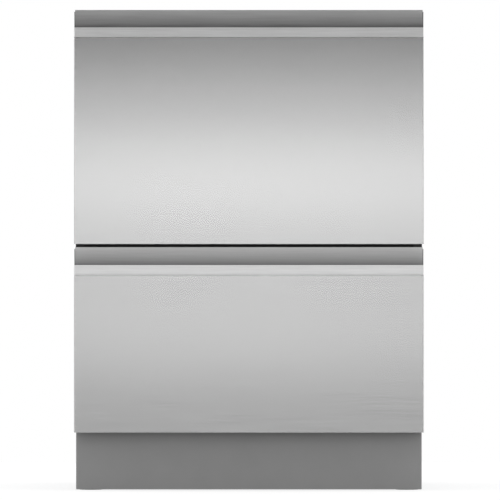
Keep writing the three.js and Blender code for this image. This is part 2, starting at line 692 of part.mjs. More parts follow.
// The tub: a drawn moulding with a broad rim, a sump, and ledges that the runners carry.
function tub() {
  const station = ([atSides, atEnds, corner, z]) =>
    ring(TUB_SIDE - atSides, [TUB_FRONT + atEnds, TUB_BACK - atEnds], corner, z);
  const sump = (radius, z) => ring(radius, [SPIN_Y - radius, SPIN_Y + radius], radius - 0.2, z);
  const shell = throughRings([
    sump(SUMP_RADIUS, SUMP_BOTTOM),
    sump(SUMP_RADIUS, FLOOR_BOTTOM),
    ...TUB_OUTSIDE.map(station),
    ...TUB_INSIDE.map(station),
    sump(SUMP_RADIUS - TUB_WALL, FLOOR),
    sump(SUMP_RADIUS - TUB_WALL, SUMP_BOTTOM + TUB_WALL),
  ]);
  const ledgeZ = [RUNNER_HEIGHT - LEDGE.half, RUNNER_HEIGHT + LEDGE.half];
  const ledges = SIDES.map(([, s]) =>
    block([s * (TUB_SIDE - LEDGE.root), s * TUB_SIDE], LEDGE.y, ledgeZ),
  );
  const { count, pitch, half, foot, head } = BACK_RIB;
  const rib = outline([
    [TUB_BACK - 19, foot],
    [TUB_BACK - 2, foot],
    [TUB_BACK - 2, head],
    [TUB_BACK - 11, head],
  ]);
  const ribs = Array.from({ length: count }, (_, i) => {
    const x = (i - (count - 1) / 2) * pitch;
    return alongX(rib, [x - half, x + half]);
  });
  return join(shell, ledges, ribs);
}

const POST_RADIUS = 12;
const POST_TOP = 56;
const PLATE = { radius: 116, chamfer: 3, top: 4.5, cone: 34, coneTop: 10 };
const SLOT = { count: 10, from: 44, to: 92, half: 4 };

// The filter plate: a round grating over the sump, with the post that the spray arm turns on.
function filterPlate() {
  const profile = [
    [0, FLOOR + FIT],
    [PLATE.radius, FLOOR + FIT],
    [PLATE.radius - PLATE.chamfer, FLOOR + PLATE.top],
    [PLATE.cone, FLOOR + PLATE.top],
    [POST_RADIUS, FLOOR + PLATE.coneTop],
    [POST_RADIUS, POST_TOP],
    [0, POST_TOP],
  ];
  const plate = turned(profile, 0, SPIN_Y, 2 * SLOT.count);
  const slot = block([SLOT.from, SLOT.to], [-SLOT.half, SLOT.half], [FLOOR, FLOOR + PLATE.top + PAST]);
  const slots = Array.from({ length: SLOT.count }, (_, i) =>
    slot.rotate([0, 0, (i * 360) / SLOT.count]).translate([0, SPIN_Y, 0]),
  );
  return cut(plate, slots);
}

const ARM_BOTTOM = 51;
const ARM_THICKNESS = 12;
const ARM_CHAMFER = 2.5;
const HUB = { radius: 33, neck: 24, rise: 4, drop: 1 };
const NOZZLE = { shares: [0.35, 0.6, 0.85], half: 4, y: [1, 4], depth: 3 }; // shares of the reach

// The spray arm: two swept blades on a hub, with a row of nozzles along each.
function sprayArm() {
  const half = new THREE.Shape();
  half.moveTo(-12, -26);
  half.quadraticCurveTo(0.3 * ARM_REACH, -30, 0.6 * ARM_REACH, -14);
  half.quadraticCurveTo(0.83 * ARM_REACH, -4, ARM_REACH - 8, 2);
  half.quadraticCurveTo(ARM_REACH, 9, ARM_REACH - 9, 15);
  half.quadraticCurveTo(0.6 * ARM_REACH, 20, 0.3 * ARM_REACH, 24);
  half.quadraticCurveTo(20, 30, -12, 26);
  const blade = solid(
    new THREE.ExtrudeGeometry(half, {
      depth: ARM_THICKNESS - 2 * ARM_CHAMFER,
      bevelThickness: ARM_CHAMFER,
      bevelSize: ARM_CHAMFER,
      bevelOffset: -ARM_CHAMFER,
      bevelSegments: 1,
      curveSegments: 3,
    }).translate(0, 0, ARM_BOTTOM + ARM_CHAMFER),
  );
  const top = ARM_BOTTOM + ARM_THICKNESS;
  const profile = [
    [0, ARM_BOTTOM - HUB.drop],
    [HUB.radius, ARM_BOTTOM - HUB.drop],
    [HUB.radius, top],
    [HUB.neck, top + HUB.rise],
    [0, top + HUB.rise],
  ];
  const hub = turned(profile, 0, 0, 16);
  const nozzles = NOZZLE.shares.flatMap((share) => {
    const x = [share * ARM_REACH - NOZZLE.half, share * ARM_REACH + NOZZLE.half];
    const hole = block(x, NOZZLE.y, [top - NOZZLE.depth, top + PAST]);
    return [hole, hole.rotate([0, 0, 180])];
  });
  const bore = rod([0, 0, ARM_BOTTOM - 3], [0, 0, POST_TOP + FIT], POST_RADIUS + 2 * FIT, 16);
  const arm = cut(join(hub, blade, blade.rotate([0, 0, 180])), nozzles, bore);
  return arm.translate([0, SPIN_Y, 0]);
}

// The motor, by radius and by height over its underside.
const MOTOR = { foot: 86, side: 94, shoulder: 88, footRise: 6, shoulderDrop: 5 };
const MOTOR_EAR = { angles: [90, 210, 330], from: 84, to: 106, half: 9, thickness: 6 };
const SOCKET = { from: 86, to: 112, half: 14, z: [6, 18] };
const VENT = { count: 6, from: 42, to: 70, half: 3, depth: 3 };

// The wash motor: a flat pancake under the sump, with three fixing ears and a plug socket.
function washMotor() {
  const top = SUMP_BOTTOM - FIT;
  const profile = [
    [0, 0],
    [MOTOR.foot, 0],
    [MOTOR.side, MOTOR.footRise],
    [MOTOR.side, top - MOTOR.shoulderDrop],
    [MOTOR.shoulder, top],
    [0, top],
  ];
  const body = turned(profile, 0, SPIN_Y, 18);
  const outwards = ({ from, to, half }, z, angle) =>
    block([from, to], [-half, half], z).rotate([0, 0, angle]).translate([0, SPIN_Y, 0]);
  const earZ = [top - MOTOR_EAR.thickness, top];
  const ears = MOTOR_EAR.angles.map((angle) => outwards(MOTOR_EAR, earZ, angle));
  const socket = outwards(SOCKET, SOCKET.z, 0);
  const vents = Array.from({ length: VENT.count }, (_, i) =>
    outwards(VENT, [-PAST, VENT.depth], (i * 360) / VENT.count),
  );
  return cut(join(body, ears, socket), vents);
}

// A wire with a square section that runs along one axis, between two points on its centreline.
function wire(from, to, size = WIRE) {
  const limits = [0, 1, 2].map((axis) => {
    const low = Math.min(from[axis], to[axis]);
    const high = Math.max(from[axis], to[axis]);
    return [low - size / 2, high + size / 2];
  });
  return block(...limits);
}

const columnX = (i) => -RACK_SIDE + (2 * RACK_SIDE * i) / RACK_COLUMNS;
const rowY = (j) => RACK_FRONT + ((RACK_BACK - RACK_FRONT) * j) / RACK_ROWS;
const BASE_Z = RACK_BASE - WIRE / 2;
const CUP_PIVOT_X = 2 - RACK_SIDE;
const LEG = 4; // half the width of a leg
// The saddles that hold the pivot of the cup rack, in from its ends.
const SADDLE = { y: [TINE_Y[0] + 30, TINE_Y[1] - 30], half: 5, outside: 2, inside: 6 };

// The dish rack: a grid of wires turned up at the edges, rows of tines and four legs.
function dishRack() {
  const topZ = RACK_TOP - WIRE / 2;
  const frontZ = RACK_FRONT_TOP - WIRE / 2;
  const columns = Array.from({ length: RACK_COLUMNS + 1 }, (_, i) => columnX(i));
  const rows = Array.from({ length: RACK_ROWS + 1 }, (_, j) => rowY(j));
  const base = [
    ...columns.map((x) => wire([x, RACK_FRONT, BASE_Z], [x, RACK_BACK, BASE_Z])),
    ...rows.map((y) => wire([-RACK_SIDE, y, BASE_Z], [RACK_SIDE, y, BASE_Z])),
  ];
  const uprights = [
    ...columns.filter((_, i) => i % 2 === 0).flatMap((x) => [
      wire([x, RACK_FRONT, BASE_Z], [x, RACK_FRONT, frontZ]),
      wire([x, RACK_BACK, BASE_Z], [x, RACK_BACK, topZ]),
    ]),
    ...rows.slice(1, -1).flatMap((y) =>
      [-RACK_SIDE, RACK_SIDE].map((x) => wire([x, y, BASE_Z], [x, y, topZ])),
    ),
  ];
  const hoop = [
    wire([-RACK_SIDE, RACK_FRONT, frontZ], [RACK_SIDE, RACK_FRONT, frontZ]),
    wire([-RACK_SIDE, RACK_BACK, topZ], [RACK_SIDE, RACK_BACK, topZ]),
    ...[-RACK_SIDE, RACK_SIDE].flatMap((x) => [
      wire([x, rowY(1), topZ], [x, RACK_BACK, topZ]),
      rod([x, RACK_FRONT, frontZ], [x, rowY(1), topZ], WIRE / 2, 4),
    ]),
  ];
  const tines = TINE_COLUMNS.flatMap((i) =>
    Array.from({ length: TINES_IN_A_ROW }, (_, k) => {
      const y = TINE_Y[0] + k * TINE_PITCH;
      return wire([columnX(i), y, BASE_Z], [columnX(i), y, TINE_TOP - TINE / 2], TINE);
    }),
  );
  const legs = [columnX(1), columnX(RACK_COLUMNS - 1)].flatMap((x) =>
    [RACK_FRONT, RACK_BACK].map((y) =>
      block([x - LEG, x + LEG], [y - LEG, y + LEG], [FLOOR + FIT, RACK_BASE - WIRE / 2]),
    ),
  );
  const saddles = SADDLE.y.map((y) => {
    const bore = CUP_PIVOT_RADIUS + 2 * FIT;
    const [y0, y1] = [y - SADDLE.half - PAST, y + SADDLE.half + PAST];
    const x = [-RACK_SIDE - SADDLE.outside, -RACK_SIDE + SADDLE.inside];
    const z = [RACK_TOP - WIRE / 2, CUP_PIVOT_Z + 1];
    return cut(
      block(x, [y - SADDLE.half, y + SADDLE.half], z),
      rod([CUP_PIVOT_X, y0, CUP_PIVOT_Z], [CUP_PIVOT_X, y1, CUP_PIVOT_Z], bore, 8),
      block([-RACK_SIDE, x[1] + PAST], [y0, y1], [CUP_PIVOT_Z, z[1] + PAST]),
    );
  });
  return join(base, uprights, hoop, tines, legs, saddles);
}

const CUP_WIRES = 6;

// The cup rack: a wire shelf that hangs on its back rod and folds up against the tub wall.
function cupRack() {
  const [y0, y1] = TINE_Y;
  const x0 = CUP_PIVOT_X;
  const x1 = x0 + CUP_RACK_WIDTH;
  const pivot = rod([x0, y0, CUP_PIVOT_Z], [x0, y1, CUP_PIVOT_Z], CUP_PIVOT_RADIUS, 8);
  const front = wire([x1, y0, CUP_PIVOT_Z], [x1, y1, CUP_PIVOT_Z]);
  const middle = wire([(x0 + x1) / 2, y0, CUP_PIVOT_Z], [(x0 + x1) / 2, y1, CUP_PIVOT_Z], TINE);
  const cross = Array.from({ length: CUP_WIRES }, (_, i) => {
    const y = y0 + WIRE + ((y1 - y0 - 2 * WIRE) * i) / (CUP_WIRES - 1);
    return wire([x0, y, CUP_PIVOT_Z], [x1, y, CUP_PIVOT_Z], TINE);
  });
  return join(pivot, front, middle, cross);
}

const BASKET_MARGIN = 14; // basket to the side of the rack
const BASKET_ENDS = 38; // basket to the front and the back of the rack
const BASKET_WALL = 2.5;
const BASKET_CELLS = 3;
const BASKET_SLOTS = 8;
const BASKET_BAND = { foot: 12, head: 16 }; // solid bands below and above the slots
const DIVIDER_DROP = 8; // dividers, below the top of the basket

// The cutlery basket: slotted walls and floor, with dividers between the cells.
function cutleryBasket() {
  const right = RACK_SIDE - BASKET_MARGIN;
  const x = [right - BASKET_WIDTH, right];
  const y = [RACK_FRONT + BASKET_ENDS, RACK_BACK - BASKET_ENDS];
  const z = [RACK_BASE + FIT, BASKET_TOP];
  const wall = BASKET_WALL;
  const { foot, head } = BASKET_BAND;
  const shell = cut(
    block(x, y, z),
    block([x[0] + wall, x[1] - wall], [y[0] + wall, y[1] - wall], [z[0] + wall, z[1] + PAST]),
  );
  const pitch = (y[1] - y[0]) / BASKET_SLOTS;
  const windows = Array.from({ length: BASKET_SLOTS }, (_, i) => {
    const middle = y[0] + pitch * (i + 0.5);
    const span = [middle - pitch / 4, middle + pitch / 4];
    const sideSlot = block([x[0] - PAST, x[1] + PAST], span, [z[0] + foot, z[1] - head]);
    const floorSlot = block([x[0] + foot, x[1] - foot], span, [z[0] - PAST, z[0] + wall + PAST]);
    return i % 2 === 0 ? [sideSlot, floorSlot] : [sideSlot];
  }).flat();
  const dividers = Array.from({ length: BASKET_CELLS - 1 }, (_, i) => {
    const middle = y[0] + ((y[1] - y[0]) * (i + 1)) / BASKET_CELLS;
    return block(
      [x[0] + wall / 2, x[1] - wall / 2],
      [middle - wall / 2, middle + wall / 2],
      [z[0] + wall / 2, z[1] - DIVIDER_DROP],
    );
  });
  return join(cut(shell, windows), dividers);
}

// The inside face of the tub's front wall, which leans forward as it rises.
function frontWall(z) {
  const rise = (z - WALL_FOOT.z) / (WALL_HEAD.z - WALL_FOOT.z);
  return TUB_FRONT + WALL_FOOT.inset + (WALL_HEAD.inset - WALL_FOOT.inset) * rise;
}

const DISPENSER_HEIGHT = 84;
const BARE_WALL = TUB_HEIGHT - RACK_FRONT_TOP - DISPENSER_HEIGHT; // above and below the dispenser
const DISPENSER_Z = RACK_FRONT_TOP + 0.4 * BARE_WALL;
const DISPENSER = {
  x: [-80, 80],
  z: [DISPENSER_Z, DISPENSER_Z + DISPENSER_HEIGHT],
  front: frontWall(DISPENSER_Z) + 15,
  chamfer: 4,
};
const CUP = { x: [-60, -2], z: [DISPENSER_Z + 15, DISPENSER_Z + 51], depth: 11 };
const CAP = { x: 44, rise: 42, radius: 20, height: 4 }; // the cap of the rinse aid
const GRIP = { half: 3, reach: 16, height: 8 };
const GAUGE = { drop: 30, radius: 5, height: 1.5 };
const DOOR_HINGE_Z = CUP.z[0] - 5;
const DOOR_THICKNESS = 3;
const DOOR_MARGIN = { side: 3, head: 4 }; // the leaf round the mouth of the cup
const LATCH = { x: [-36, -26], z: [CUP.z[1] - 6, CUP.z[1] + 2], height: 2.5 };

// The dispenser on the front wall of the tub: detergent cup and the rinse-aid filler cap.
function dispenser() {
  const { x, z, front } = DISPENSER;
  const profile = outline([
    [front, z[0] + DISPENSER.chamfer],
    [front, z[1]],
    [frontWall(z[1]) + FIT, z[1]],
    [frontWall(z[0]) + FIT, z[0]],
    [front - DISPENSER.chamfer, z[0]],
  ]);
  const body = alongX(profile, x);
  const cup = block(CUP.x, [front - CUP.depth, front + PAST], CUP.z);
  const capZ = z[0] + CAP.rise;
  const disc = ({ radius, height }, at, sides) =>
    rod([CAP.x, front - PAST, at], [CAP.x, front + height, at], radius, sides);
  const grip = block(
    [CAP.x - GRIP.half, CAP.x + GRIP.half],
    [front + CAP.height - PAST, front + GRIP.height],
    [capZ - GRIP.reach, capZ + GRIP.reach],
  );
  return join(cut(body, cup), disc(CAP, capZ, 16), grip, disc(GAUGE, capZ - GAUGE.drop, 8));
}

// Its door, which drops open about a barrel along its lower edge.
function dispenserDoor() {
  const y = [DISPENSER.front + FIT, DISPENSER.front + FIT + DOOR_THICKNESS];
  const middle = (y[0] + y[1]) / 2;
  const x = [CUP.x[0] - DOOR_MARGIN.side, CUP.x[1] + DOOR_MARGIN.side];
  const leaf = block(x, y, [DOOR_HINGE_Z, CUP.z[1] + DOOR_MARGIN.head]);
  const barrel = rod([x[0], middle, DOOR_HINGE_Z], [x[1], middle, DOOR_HINGE_Z], DOOR_THICKNESS / 2, 8);
  const latch = block(LATCH.x, [y[1] - PAST, y[1] + LATCH.height], LATCH.z);
  return join(leaf, barrel, latch);
}

// ---------------------------------------------------------------- lids
const LID_SIDE = TUB_SIDE - 3;
const LID_Y = [TUB_FRONT + 4, TUB_BACK - 4];
const LID_CORNER = 33;
const SEAL_BOTTOM = TUB_HEIGHT + LID_LANDING + LID_TRAVEL;
const SEAL_HEIGHT = 2.6;
const LID_BOTTOM = SEAL_BOTTOM + SEAL_HEIGHT + FIT;
const LID_HEIGHT = 33;
const LID_WALL = 3;
const EAR = {
  y: [SPIN_Y - 32, SPIN_Y + 8],
  z: [LID_BOTTOM + 17, LID_BOTTOM + 24],
  reach: 12,
  root: 12,
};

const LID_TOP = LID_BOTTOM + LID_HEIGHT;
// Each station of the lid: inset from its outline, corner radius and height.
const LID_STATIONS = [
  [0, LID_CORNER, LID_BOTTOM],
  [0, LID_CORNER, LID_BOTTOM + LID_WALL],
  [8, 30, LID_BOTTOM + LID_WALL + 2],
  [10, 28, LID_TOP - LID_WALL],
  [7, 28, LID_TOP],
  [12, 26, LID_TOP],
  [13, 26, LID_BOTTOM + LID_WALL],
];
const LID_RIB = { half: 1.5, inset: 11, z: [LID_BOTTOM + 2, LID_TOP - 12] };

// A loop round the lid, drawn in from its outline.
function roundLid(inset, corner, z) {
  return ring(LID_SIDE - inset, [LID_Y[0] + inset, LID_Y[1] - inset], corner, z);
}

// The lid: a shallow pan stiffened by ribs, with an ear on each side that its actuator holds.
function lid() {
  const pan = throughRings(LID_STATIONS.map((station) => roundLid(...station)));
  const { half, inset, z } = LID_RIB;
  const across = [inset - LID_SIDE, LID_SIDE - inset];
  const along = [LID_Y[0] + inset, LID_Y[1] - inset];
  const ribs = [
    ...[-LID_SIDE / 2, 0, LID_SIDE / 2].map((x) => block([x - half, x + half], along, z)),
    block(across, [SPIN_Y - half, SPIN_Y + half], z),
  ];
  const ears = SIDES.map(([, s]) =>
    block([s * (LID_SIDE - EAR.root), s * (LID_SIDE + EAR.reach)], EAR.y, EAR.z),
  );
  return join(pan, ribs, ears);
}

// The seal: one moulded loop under the edge of the lid.
function lidSeal() {
  const top = SEAL_BOTTOM + SEAL_HEIGHT;
  const section = [
    [3, SEAL_BOTTOM],
    [1, SEAL_BOTTOM + 1],
    [1, top],
    [9, top],
    [7, SEAL_BOTTOM],
  ];
  const loops = section.map(([inset, z]) => roundLid(inset, LID_CORNER - inset, z));
  return throughRings(loops, true);
}

const HOUSING = {
  inner: LID_SIDE + 4,
  y: [EAR.y[0] - 22, EAR.y[1] + 40],
  z: [LID_BOTTOM - 6, EAR.z[1] + 14],
};
const HOUSING_FOOT = { length: 14, root: 2, thickness: 3.7, height: 8, inset: 6 };

// A lid actuator: a geared motor on the side panel whose slot guides the ear of the lid.
function lidActuator(side) {
  const x = [side * HOUSING.inner, side * (SIDE_INNER - FIT)];
  const [y0, y1] = HOUSING.y;
  const [bottom, top] = HOUSING.z;
  const shape = outline([
    [y0, bottom],
    [y1 - 6, bottom],
    [y1, bottom + 8],
    [y1, top - 14],
    [y1 - 16, top],
    [y0 + 8, top],
    [y0, top - 10],
  ]);
  const slot = block(
    [side * (HOUSING.inner - PAST), side * (LID_SIDE + EAR.reach + FIT)],
    [EAR.y[0] - FIT, EAR.y[1] + FIT],
    [EAR.z[0] - LID_TRAVEL - FIT, EAR.z[1] + FIT],
  );
  const { length, root, thickness, height, inset } = HOUSING_FOOT;
  const footX = [x[1] - side * thickness, x[1]];
  const footY = [y0 + root - length, y0 + root];
  const feet = [bottom + inset, top - inset - height].map((z) => block(footX, footY, [z, z + height]));
  return cut(join(alongX(shape, x), feet), slot);
}

// ---------------------------------------------------------------- runners
const RUNNER_WALL = 1.5;
const BALL_GAP = 0.4;
const MIDDLE_HALF = RUNNER_HALF - RUNNER_WALL - BALL_GAP;
const INNER_HALF = MIDDLE_HALF - RUNNER_WALL - BALL_GAP;
const RUNNER_FRONT = CABINET_FRONT + 4;
// Each member: how far its web and its flanges stand off the side panel, and its two ends.
const OUTER_MEMBER = { web: FIT, flange: 12, y: [RUNNER_FRONT, TUB_BACK - 25] };
const MIDDLE_MEMBER = { web: 3, flange: 14, y: [RUNNER_FRONT, TUB_BACK - 33] };
const INNER_MEMBER = { web: RUNNER_SPACE, flange: 7, y: [FRAME_BACK + FIT, TUB_BACK - 15] };

// A channel on its side, with its web on one side and its two flanges towards the other.
function runnerChannel(side, { web, flange, y }, half) {
  const x = (off) => side * (SIDE_INNER - off);
  const webEnd = web + Math.sign(flange - web) * RUNNER_WALL;
  const shape = outline([
    [x(web), -half],
    [x(flange), -half],
    [x(flange), -half + RUNNER_WALL],
    [x(webEnd), -half + RUNNER_WALL],
    [x(webEnd), half - RUNNER_WALL],
    [x(flange), half - RUNNER_WALL],
    [x(flange), half],
    [x(web), half],
  ]);
  return alongY(shape, y).translate([0, 0, RUNNER_HEIGHT]);
}

function runners(module, group) {
  for (const [sideName, side] of SIDES) {
    const name = `${module.name}_${sideName}_runner`;
    const outer = runnerChannel(side, OUTER_MEMBER, RUNNER_HALF);
    const middle = runnerChannel(side, MIDDLE_MEMBER, MIDDLE_HALF);
    const inner = runnerChannel(side, INNER_MEMBER, INNER_HALF);
    place(`${name}_outer`, outer, GALVANISED, group);
    place(`${name}_middle`, middle, GALVANISED, group);
    place(`${name}_inner`, inner, GALVANISED, group);
  }
}

// ---------------------------------------------------------------- assembly
for (const [name, side] of SIDES) {
  place(`${name}_side_panel`, sidePanel(side), GALVANISED);
}
place("base_tray", baseTray(), GALVANISED);
place("top_front_rail", topFrontRail(), GALVANISED);
place("middle_rail", channelRail(MIDDLE_RAIL_BOTTOM, MIDDLE_RAIL_HEIGHT, false), BLACK_STEEL);
place("rear_panel", rearPanel(), GALVANISED);
place("toe_kick", toeKick(), KICK_STEEL);
place("inlet_valve", inletValve(), VALVE_PLASTIC);
for (const [name, x, y] of feetPlaces) {
  place(name, levellingFoot(x, y), FOOT_PLASTIC);
}

for (const [module, group] of moduleGroups) {
  const add = (name, made, material) => place(`${module.name}_${name}`, made, material, group);
  add("front_panel", frontPanel(module), STAINLESS);
  add("handle_rail", handleRail(module), BRUSHED);
  add("door_frame", doorFrame(module), FRAME_PLASTIC);
  for (const [name, x] of BUTTON_X) {
    add(`${name}_button`, pushButton(x, module), BUTTON_CHROME);
  }
  add("tub", tub(), TUB_PLASTIC);
  add("filter_plate", filterPlate(), TUB_PLASTIC);
  add("spray_arm", sprayArm(), BASKET_PLASTIC);
  add("wash_motor", washMotor(), MOTOR_PLASTIC);
  add("dish_rack", dishRack(), WIRE_NYLON);
  add("cup_rack", cupRack(), WIRE_NYLON);
  add("cutlery_basket", cutleryBasket(), BASKET_PLASTIC);
  add("dispenser", dispenser(), DISPENSER_PLASTIC);
  add("dispenser_door", dispenserDoor(), DISPENSER_PLASTIC);
  add("lid", lid(), LID_PLASTIC);
  add("lid_seal", lidSeal(), SEAL_RUBBER);
  for (const [name, side] of SIDES) {
    add(`${name}_lid_actuator`, lidActuator(side), MOTOR_PLASTIC);
  }
  runners(module, group);
}

export default dishwasher;
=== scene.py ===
# %% [markdown]
# # A double drawer dishwasher
# The machine is a folded steel cabinet that holds two wash drawers on telescopic runners. Its solid
# model comes in as a fixed frame: each piece has a name, is in metres, and stands where it belongs.
# The looks are built round it. First come the finishes, one for each real material, then the pieces
# that need finer shapes than the solids have, such as the bent wire of the racks, and last the
# camera and the studio. The origin is on the floor, in the middle of the machine, and the fronts
# face -Y.

import math

import bmesh
import bpy
from mathutils import Matrix, Vector


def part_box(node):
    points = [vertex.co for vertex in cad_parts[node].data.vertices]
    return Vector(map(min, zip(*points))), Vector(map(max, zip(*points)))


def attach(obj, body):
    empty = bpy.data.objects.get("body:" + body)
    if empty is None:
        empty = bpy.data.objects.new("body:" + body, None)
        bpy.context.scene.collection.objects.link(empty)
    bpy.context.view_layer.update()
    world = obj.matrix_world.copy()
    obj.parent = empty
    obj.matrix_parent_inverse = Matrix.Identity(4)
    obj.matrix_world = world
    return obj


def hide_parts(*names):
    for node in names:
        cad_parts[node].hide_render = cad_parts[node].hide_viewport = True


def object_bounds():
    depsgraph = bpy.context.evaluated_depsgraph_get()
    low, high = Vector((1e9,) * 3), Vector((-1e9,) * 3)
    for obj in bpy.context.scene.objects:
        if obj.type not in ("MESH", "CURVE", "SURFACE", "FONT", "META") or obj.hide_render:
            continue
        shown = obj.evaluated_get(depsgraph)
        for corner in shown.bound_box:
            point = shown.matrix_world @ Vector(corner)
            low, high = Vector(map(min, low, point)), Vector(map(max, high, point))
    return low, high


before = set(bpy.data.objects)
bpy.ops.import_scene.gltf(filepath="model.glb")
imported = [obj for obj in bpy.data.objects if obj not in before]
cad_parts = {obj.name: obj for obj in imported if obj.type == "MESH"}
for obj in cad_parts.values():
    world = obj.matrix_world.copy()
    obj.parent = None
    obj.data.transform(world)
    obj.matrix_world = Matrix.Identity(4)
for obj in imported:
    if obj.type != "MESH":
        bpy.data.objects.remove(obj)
cad_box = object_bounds()
FRONT = cad_box[0].y
MM = 0.001
MODULES = ("lower", "upper")
SIDES = (-1, 1)
print("pieces in the frame:", len(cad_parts))

# %% [markdown]
# ## Three small helpers for finishes
# Colours are written as they look on a screen, as sRGB hex values, while a shader works with linear
# light. One function turns the first into the second, with the curve of the sRGB standard. A shader
# is a graph of nodes, and one more function adds any node to it: settings of the node are named,
# and each input takes either a value or the output of another node. A socket is given by its name,
# or by its number where a node has several sockets of one name, as Mix and Math do. A third
# function starts a material, because Blender puts nodes into a new one that aren't wanted here.


# %% Colours and nodes
def linear(hex_colour):
    """An sRGB hex colour as linear red, green, blue and alpha."""
    channels = [int(hex_colour[i : i + 2], 16) / 255 for i in (1, 3, 5)]
    light = [c / 12.92 if c <= 0.04045 else ((c + 0.055) / 1.055) ** 2.4 for c in channels]
    return (*light, 1.0)


def add(tree, kind, inputs=None, **settings):
    """Adds a node; inputs gives each socket a value, or another node's output to link."""
    node = tree.nodes.new(kind)
    for name, value in settings.items():
        setattr(node, name, value)
    for key, value in (inputs or {}).items():
        if isinstance(value, bpy.types.NodeSocket):
            tree.links.new(value, node.inputs[key])
        else:
            node.inputs[key].default_value = value
    return node


def blank_material(name):
    """A new material whose node tree is empty."""
    material = bpy.data.materials.new(name)
    material.use_nodes = True
    material.node_tree.nodes.clear()
    return material


print("mid grey #808080 is", round(linear("#808080")[0], 3), "in linear light")

# %% [markdown]
# ## A finish in two shades
# Hardly any surface has one colour. Paint pools, a mould fills unevenly and a brush leaves streaks,
# so nearly every finish here is made the same way: soft lumps of a known size move the colour
# between two close shades and the gloss between two values, and a finer grain stands up from the
# surface. Noise does both. It could be an image, but noise needs no layout and has no seams. Its
# values hardly ever leave the middle of their range, so that middle is stretched over both shades.
# The pattern is laid out in the piece's own coordinates, which are metres, so a size in
# millimetres is its real size and the pattern stays on the piece when a drawer is pulled out. Lumps
# that are long in one direction become the streaks of a brushed metal. Whatever is the same all
# over, such as the IOR or metallic, is written on the shader itself.


# %% A finish in two shades
NOISE_RANGE = (0.3, 0.7)


def surface(tree, colour, gloss, relief, relief_mm, **same_all_over):
    """One shader of a colour, a gloss and a relief; the rest is the same all over."""
    bump = {"Height": relief, "Strength": 1.0, "Distance": relief_mm * MM}
    inputs = {key.replace("_", " "): value for key, value in same_all_over.items()}
    inputs["Base Color"] = colour
    inputs["Roughness"] = gloss
    inputs["Normal"] = add(tree, "ShaderNodeBump", bump).outputs[0]
    shader = add(tree, "ShaderNodeBsdfPrincipled", inputs)
    add(tree, "ShaderNodeOutputMaterial", {"Surface": shader.outputs[0]})


def finish(name, shades, lumps_mm, gloss, grain_mm, grain_height_mm, **same_all_over):
    """Lumps and grain give their size along X, Y and Z; shades and gloss go from low to high."""
    material = blank_material(name)
    tree = material.node_tree
    place = add(tree, "ShaderNodeTexCoord").outputs["Object"]
    patterns = []
    for size_mm in (lumps_mm, grain_mm):
        per_metre = [1 / (size * MM) for size in size_mm]
        scaled = add(tree, "ShaderNodeVectorMath", {0: place, 1: per_metre}, operation="MULTIPLY")
        patterns.append(add(tree, "ShaderNodeTexNoise", {0: scaled.outputs[0], "Scale": 1.0}))
    lumps, grain = [pattern.outputs[0] for pattern in patterns]
    middle = {"Value": lumps, "From Min": NOISE_RANGE[0], "From Max": NOISE_RANGE[1]}
    share = add(tree, "ShaderNodeMapRange", middle)
    shine = add(tree, "ShaderNodeMapRange", {**middle, "To Min": gloss[0], "To Max": gloss[1]})
    dark, light = [linear(shade) for shade in shades]
    mixed = {0: share.outputs[0], 6: dark, 7: light}
    colour = add(tree, "ShaderNodeMix", mixed, data_type="RGBA").outputs[2]
    surface(tree, colour, shine.outputs[0], grain, grain_height_mm, **same_all_over)
    return material


print("noise from", NOISE_RANGE[0], "to", NOISE_RANGE[1], "covers both shades")

# %% [markdown]
# ## Brushed stainless steel
# The drawer fronts are stainless sheet with a hairline finish: a belt has drawn fine scratches
# along it, from side to side. The scratches spread each reflection up and down, so a lamp becomes a
# broad soft band, which is anisotropy: a Tangent node gives the direction of the scratches, and a
# quarter turn of the rotation spreads light across them. Real hairlines are a tenth of a millimetre
# apart, too fine to show, so the streaks are drawn a few millimetres high and as long as a hand.
# The handle is brushed more coarsely, so its streaks are clearer and it spreads a reflection
# further.


# %% Stainless finishes
ANISOTROPY, QUARTER_TURN = 0.4, 0.25


def brushed(name, shades, streaks_mm, gloss, hairs_mm, hair_height_mm):
    """Stainless steel brushed along X; a metal keeps its default IOR."""
    metal = {"Metallic": 1.0, "Anisotropic": ANISOTROPY, "Anisotropic_Rotation": QUARTER_TURN}
    steel = finish(name, shades, streaks_mm, gloss, hairs_mm, hair_height_mm, **metal)
    tree = steel.node_tree
    around = add(tree, "ShaderNodeTangent", direction_type="RADIAL", axis="Z")
    tree.links.new(around.outputs[0], tree.nodes["Principled BSDF"].inputs["Tangent"])
    return steel


HAIRLINE, HAIRS = (120, 2.4, 2.4), (60, 0.6, 0.6)
LIP_STREAKS, LIP_HAIRS = (70, 2.6, 2.6), (35, 0.7, 0.7)
hairline_steel = brushed(
    "hairline_stainless", ("#cecece", "#d2d2d2"), HAIRLINE, (0.235, 0.255), HAIRS, 0.0003
)
lip_steel = brushed(
    "brushed_stainless_lip", ("#e2e2e2", "#ebebeb"), LIP_STREAKS, (0.42, 0.47), LIP_HAIRS, 0.0014
)
print("stainless finishes:", hairline_steel.name, lip_steel.name)

# %% [markdown]
# ## The finger recess
# Behind the lip the colour carries painted shade: the wall of the recess is painted darker towards
# its foot, and the scoop below is painted darkest, where the lip shades it. A second material would
# leave a hard border on one bent strip, so the lip's own colour is darkened by height. Both drawers
# share the finish: Wrap repeats the height from one handle to the next, so one rule fits both. The
# darkening begins just behind the lip, and a power below 1 puts most of it near the wall's foot.


# %% A recess that darkens
SCOOP_DEPTH, HANDLE_RISE = 32 * MM, 30.5 * MM
RECESS = SCOOP_DEPTH + HANDLE_RISE
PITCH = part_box("upper_handle_rail")[1].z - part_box("lower_handle_rail")[1].z
SCOOP_BOTTOM = cad_box[1].z - PITCH - RECESS
LIP_BACK = (3.2, 3.6)
RECESS_PAINTED_SHADE = (0.3, 0.75)
CLIMB_POWER = 0.5


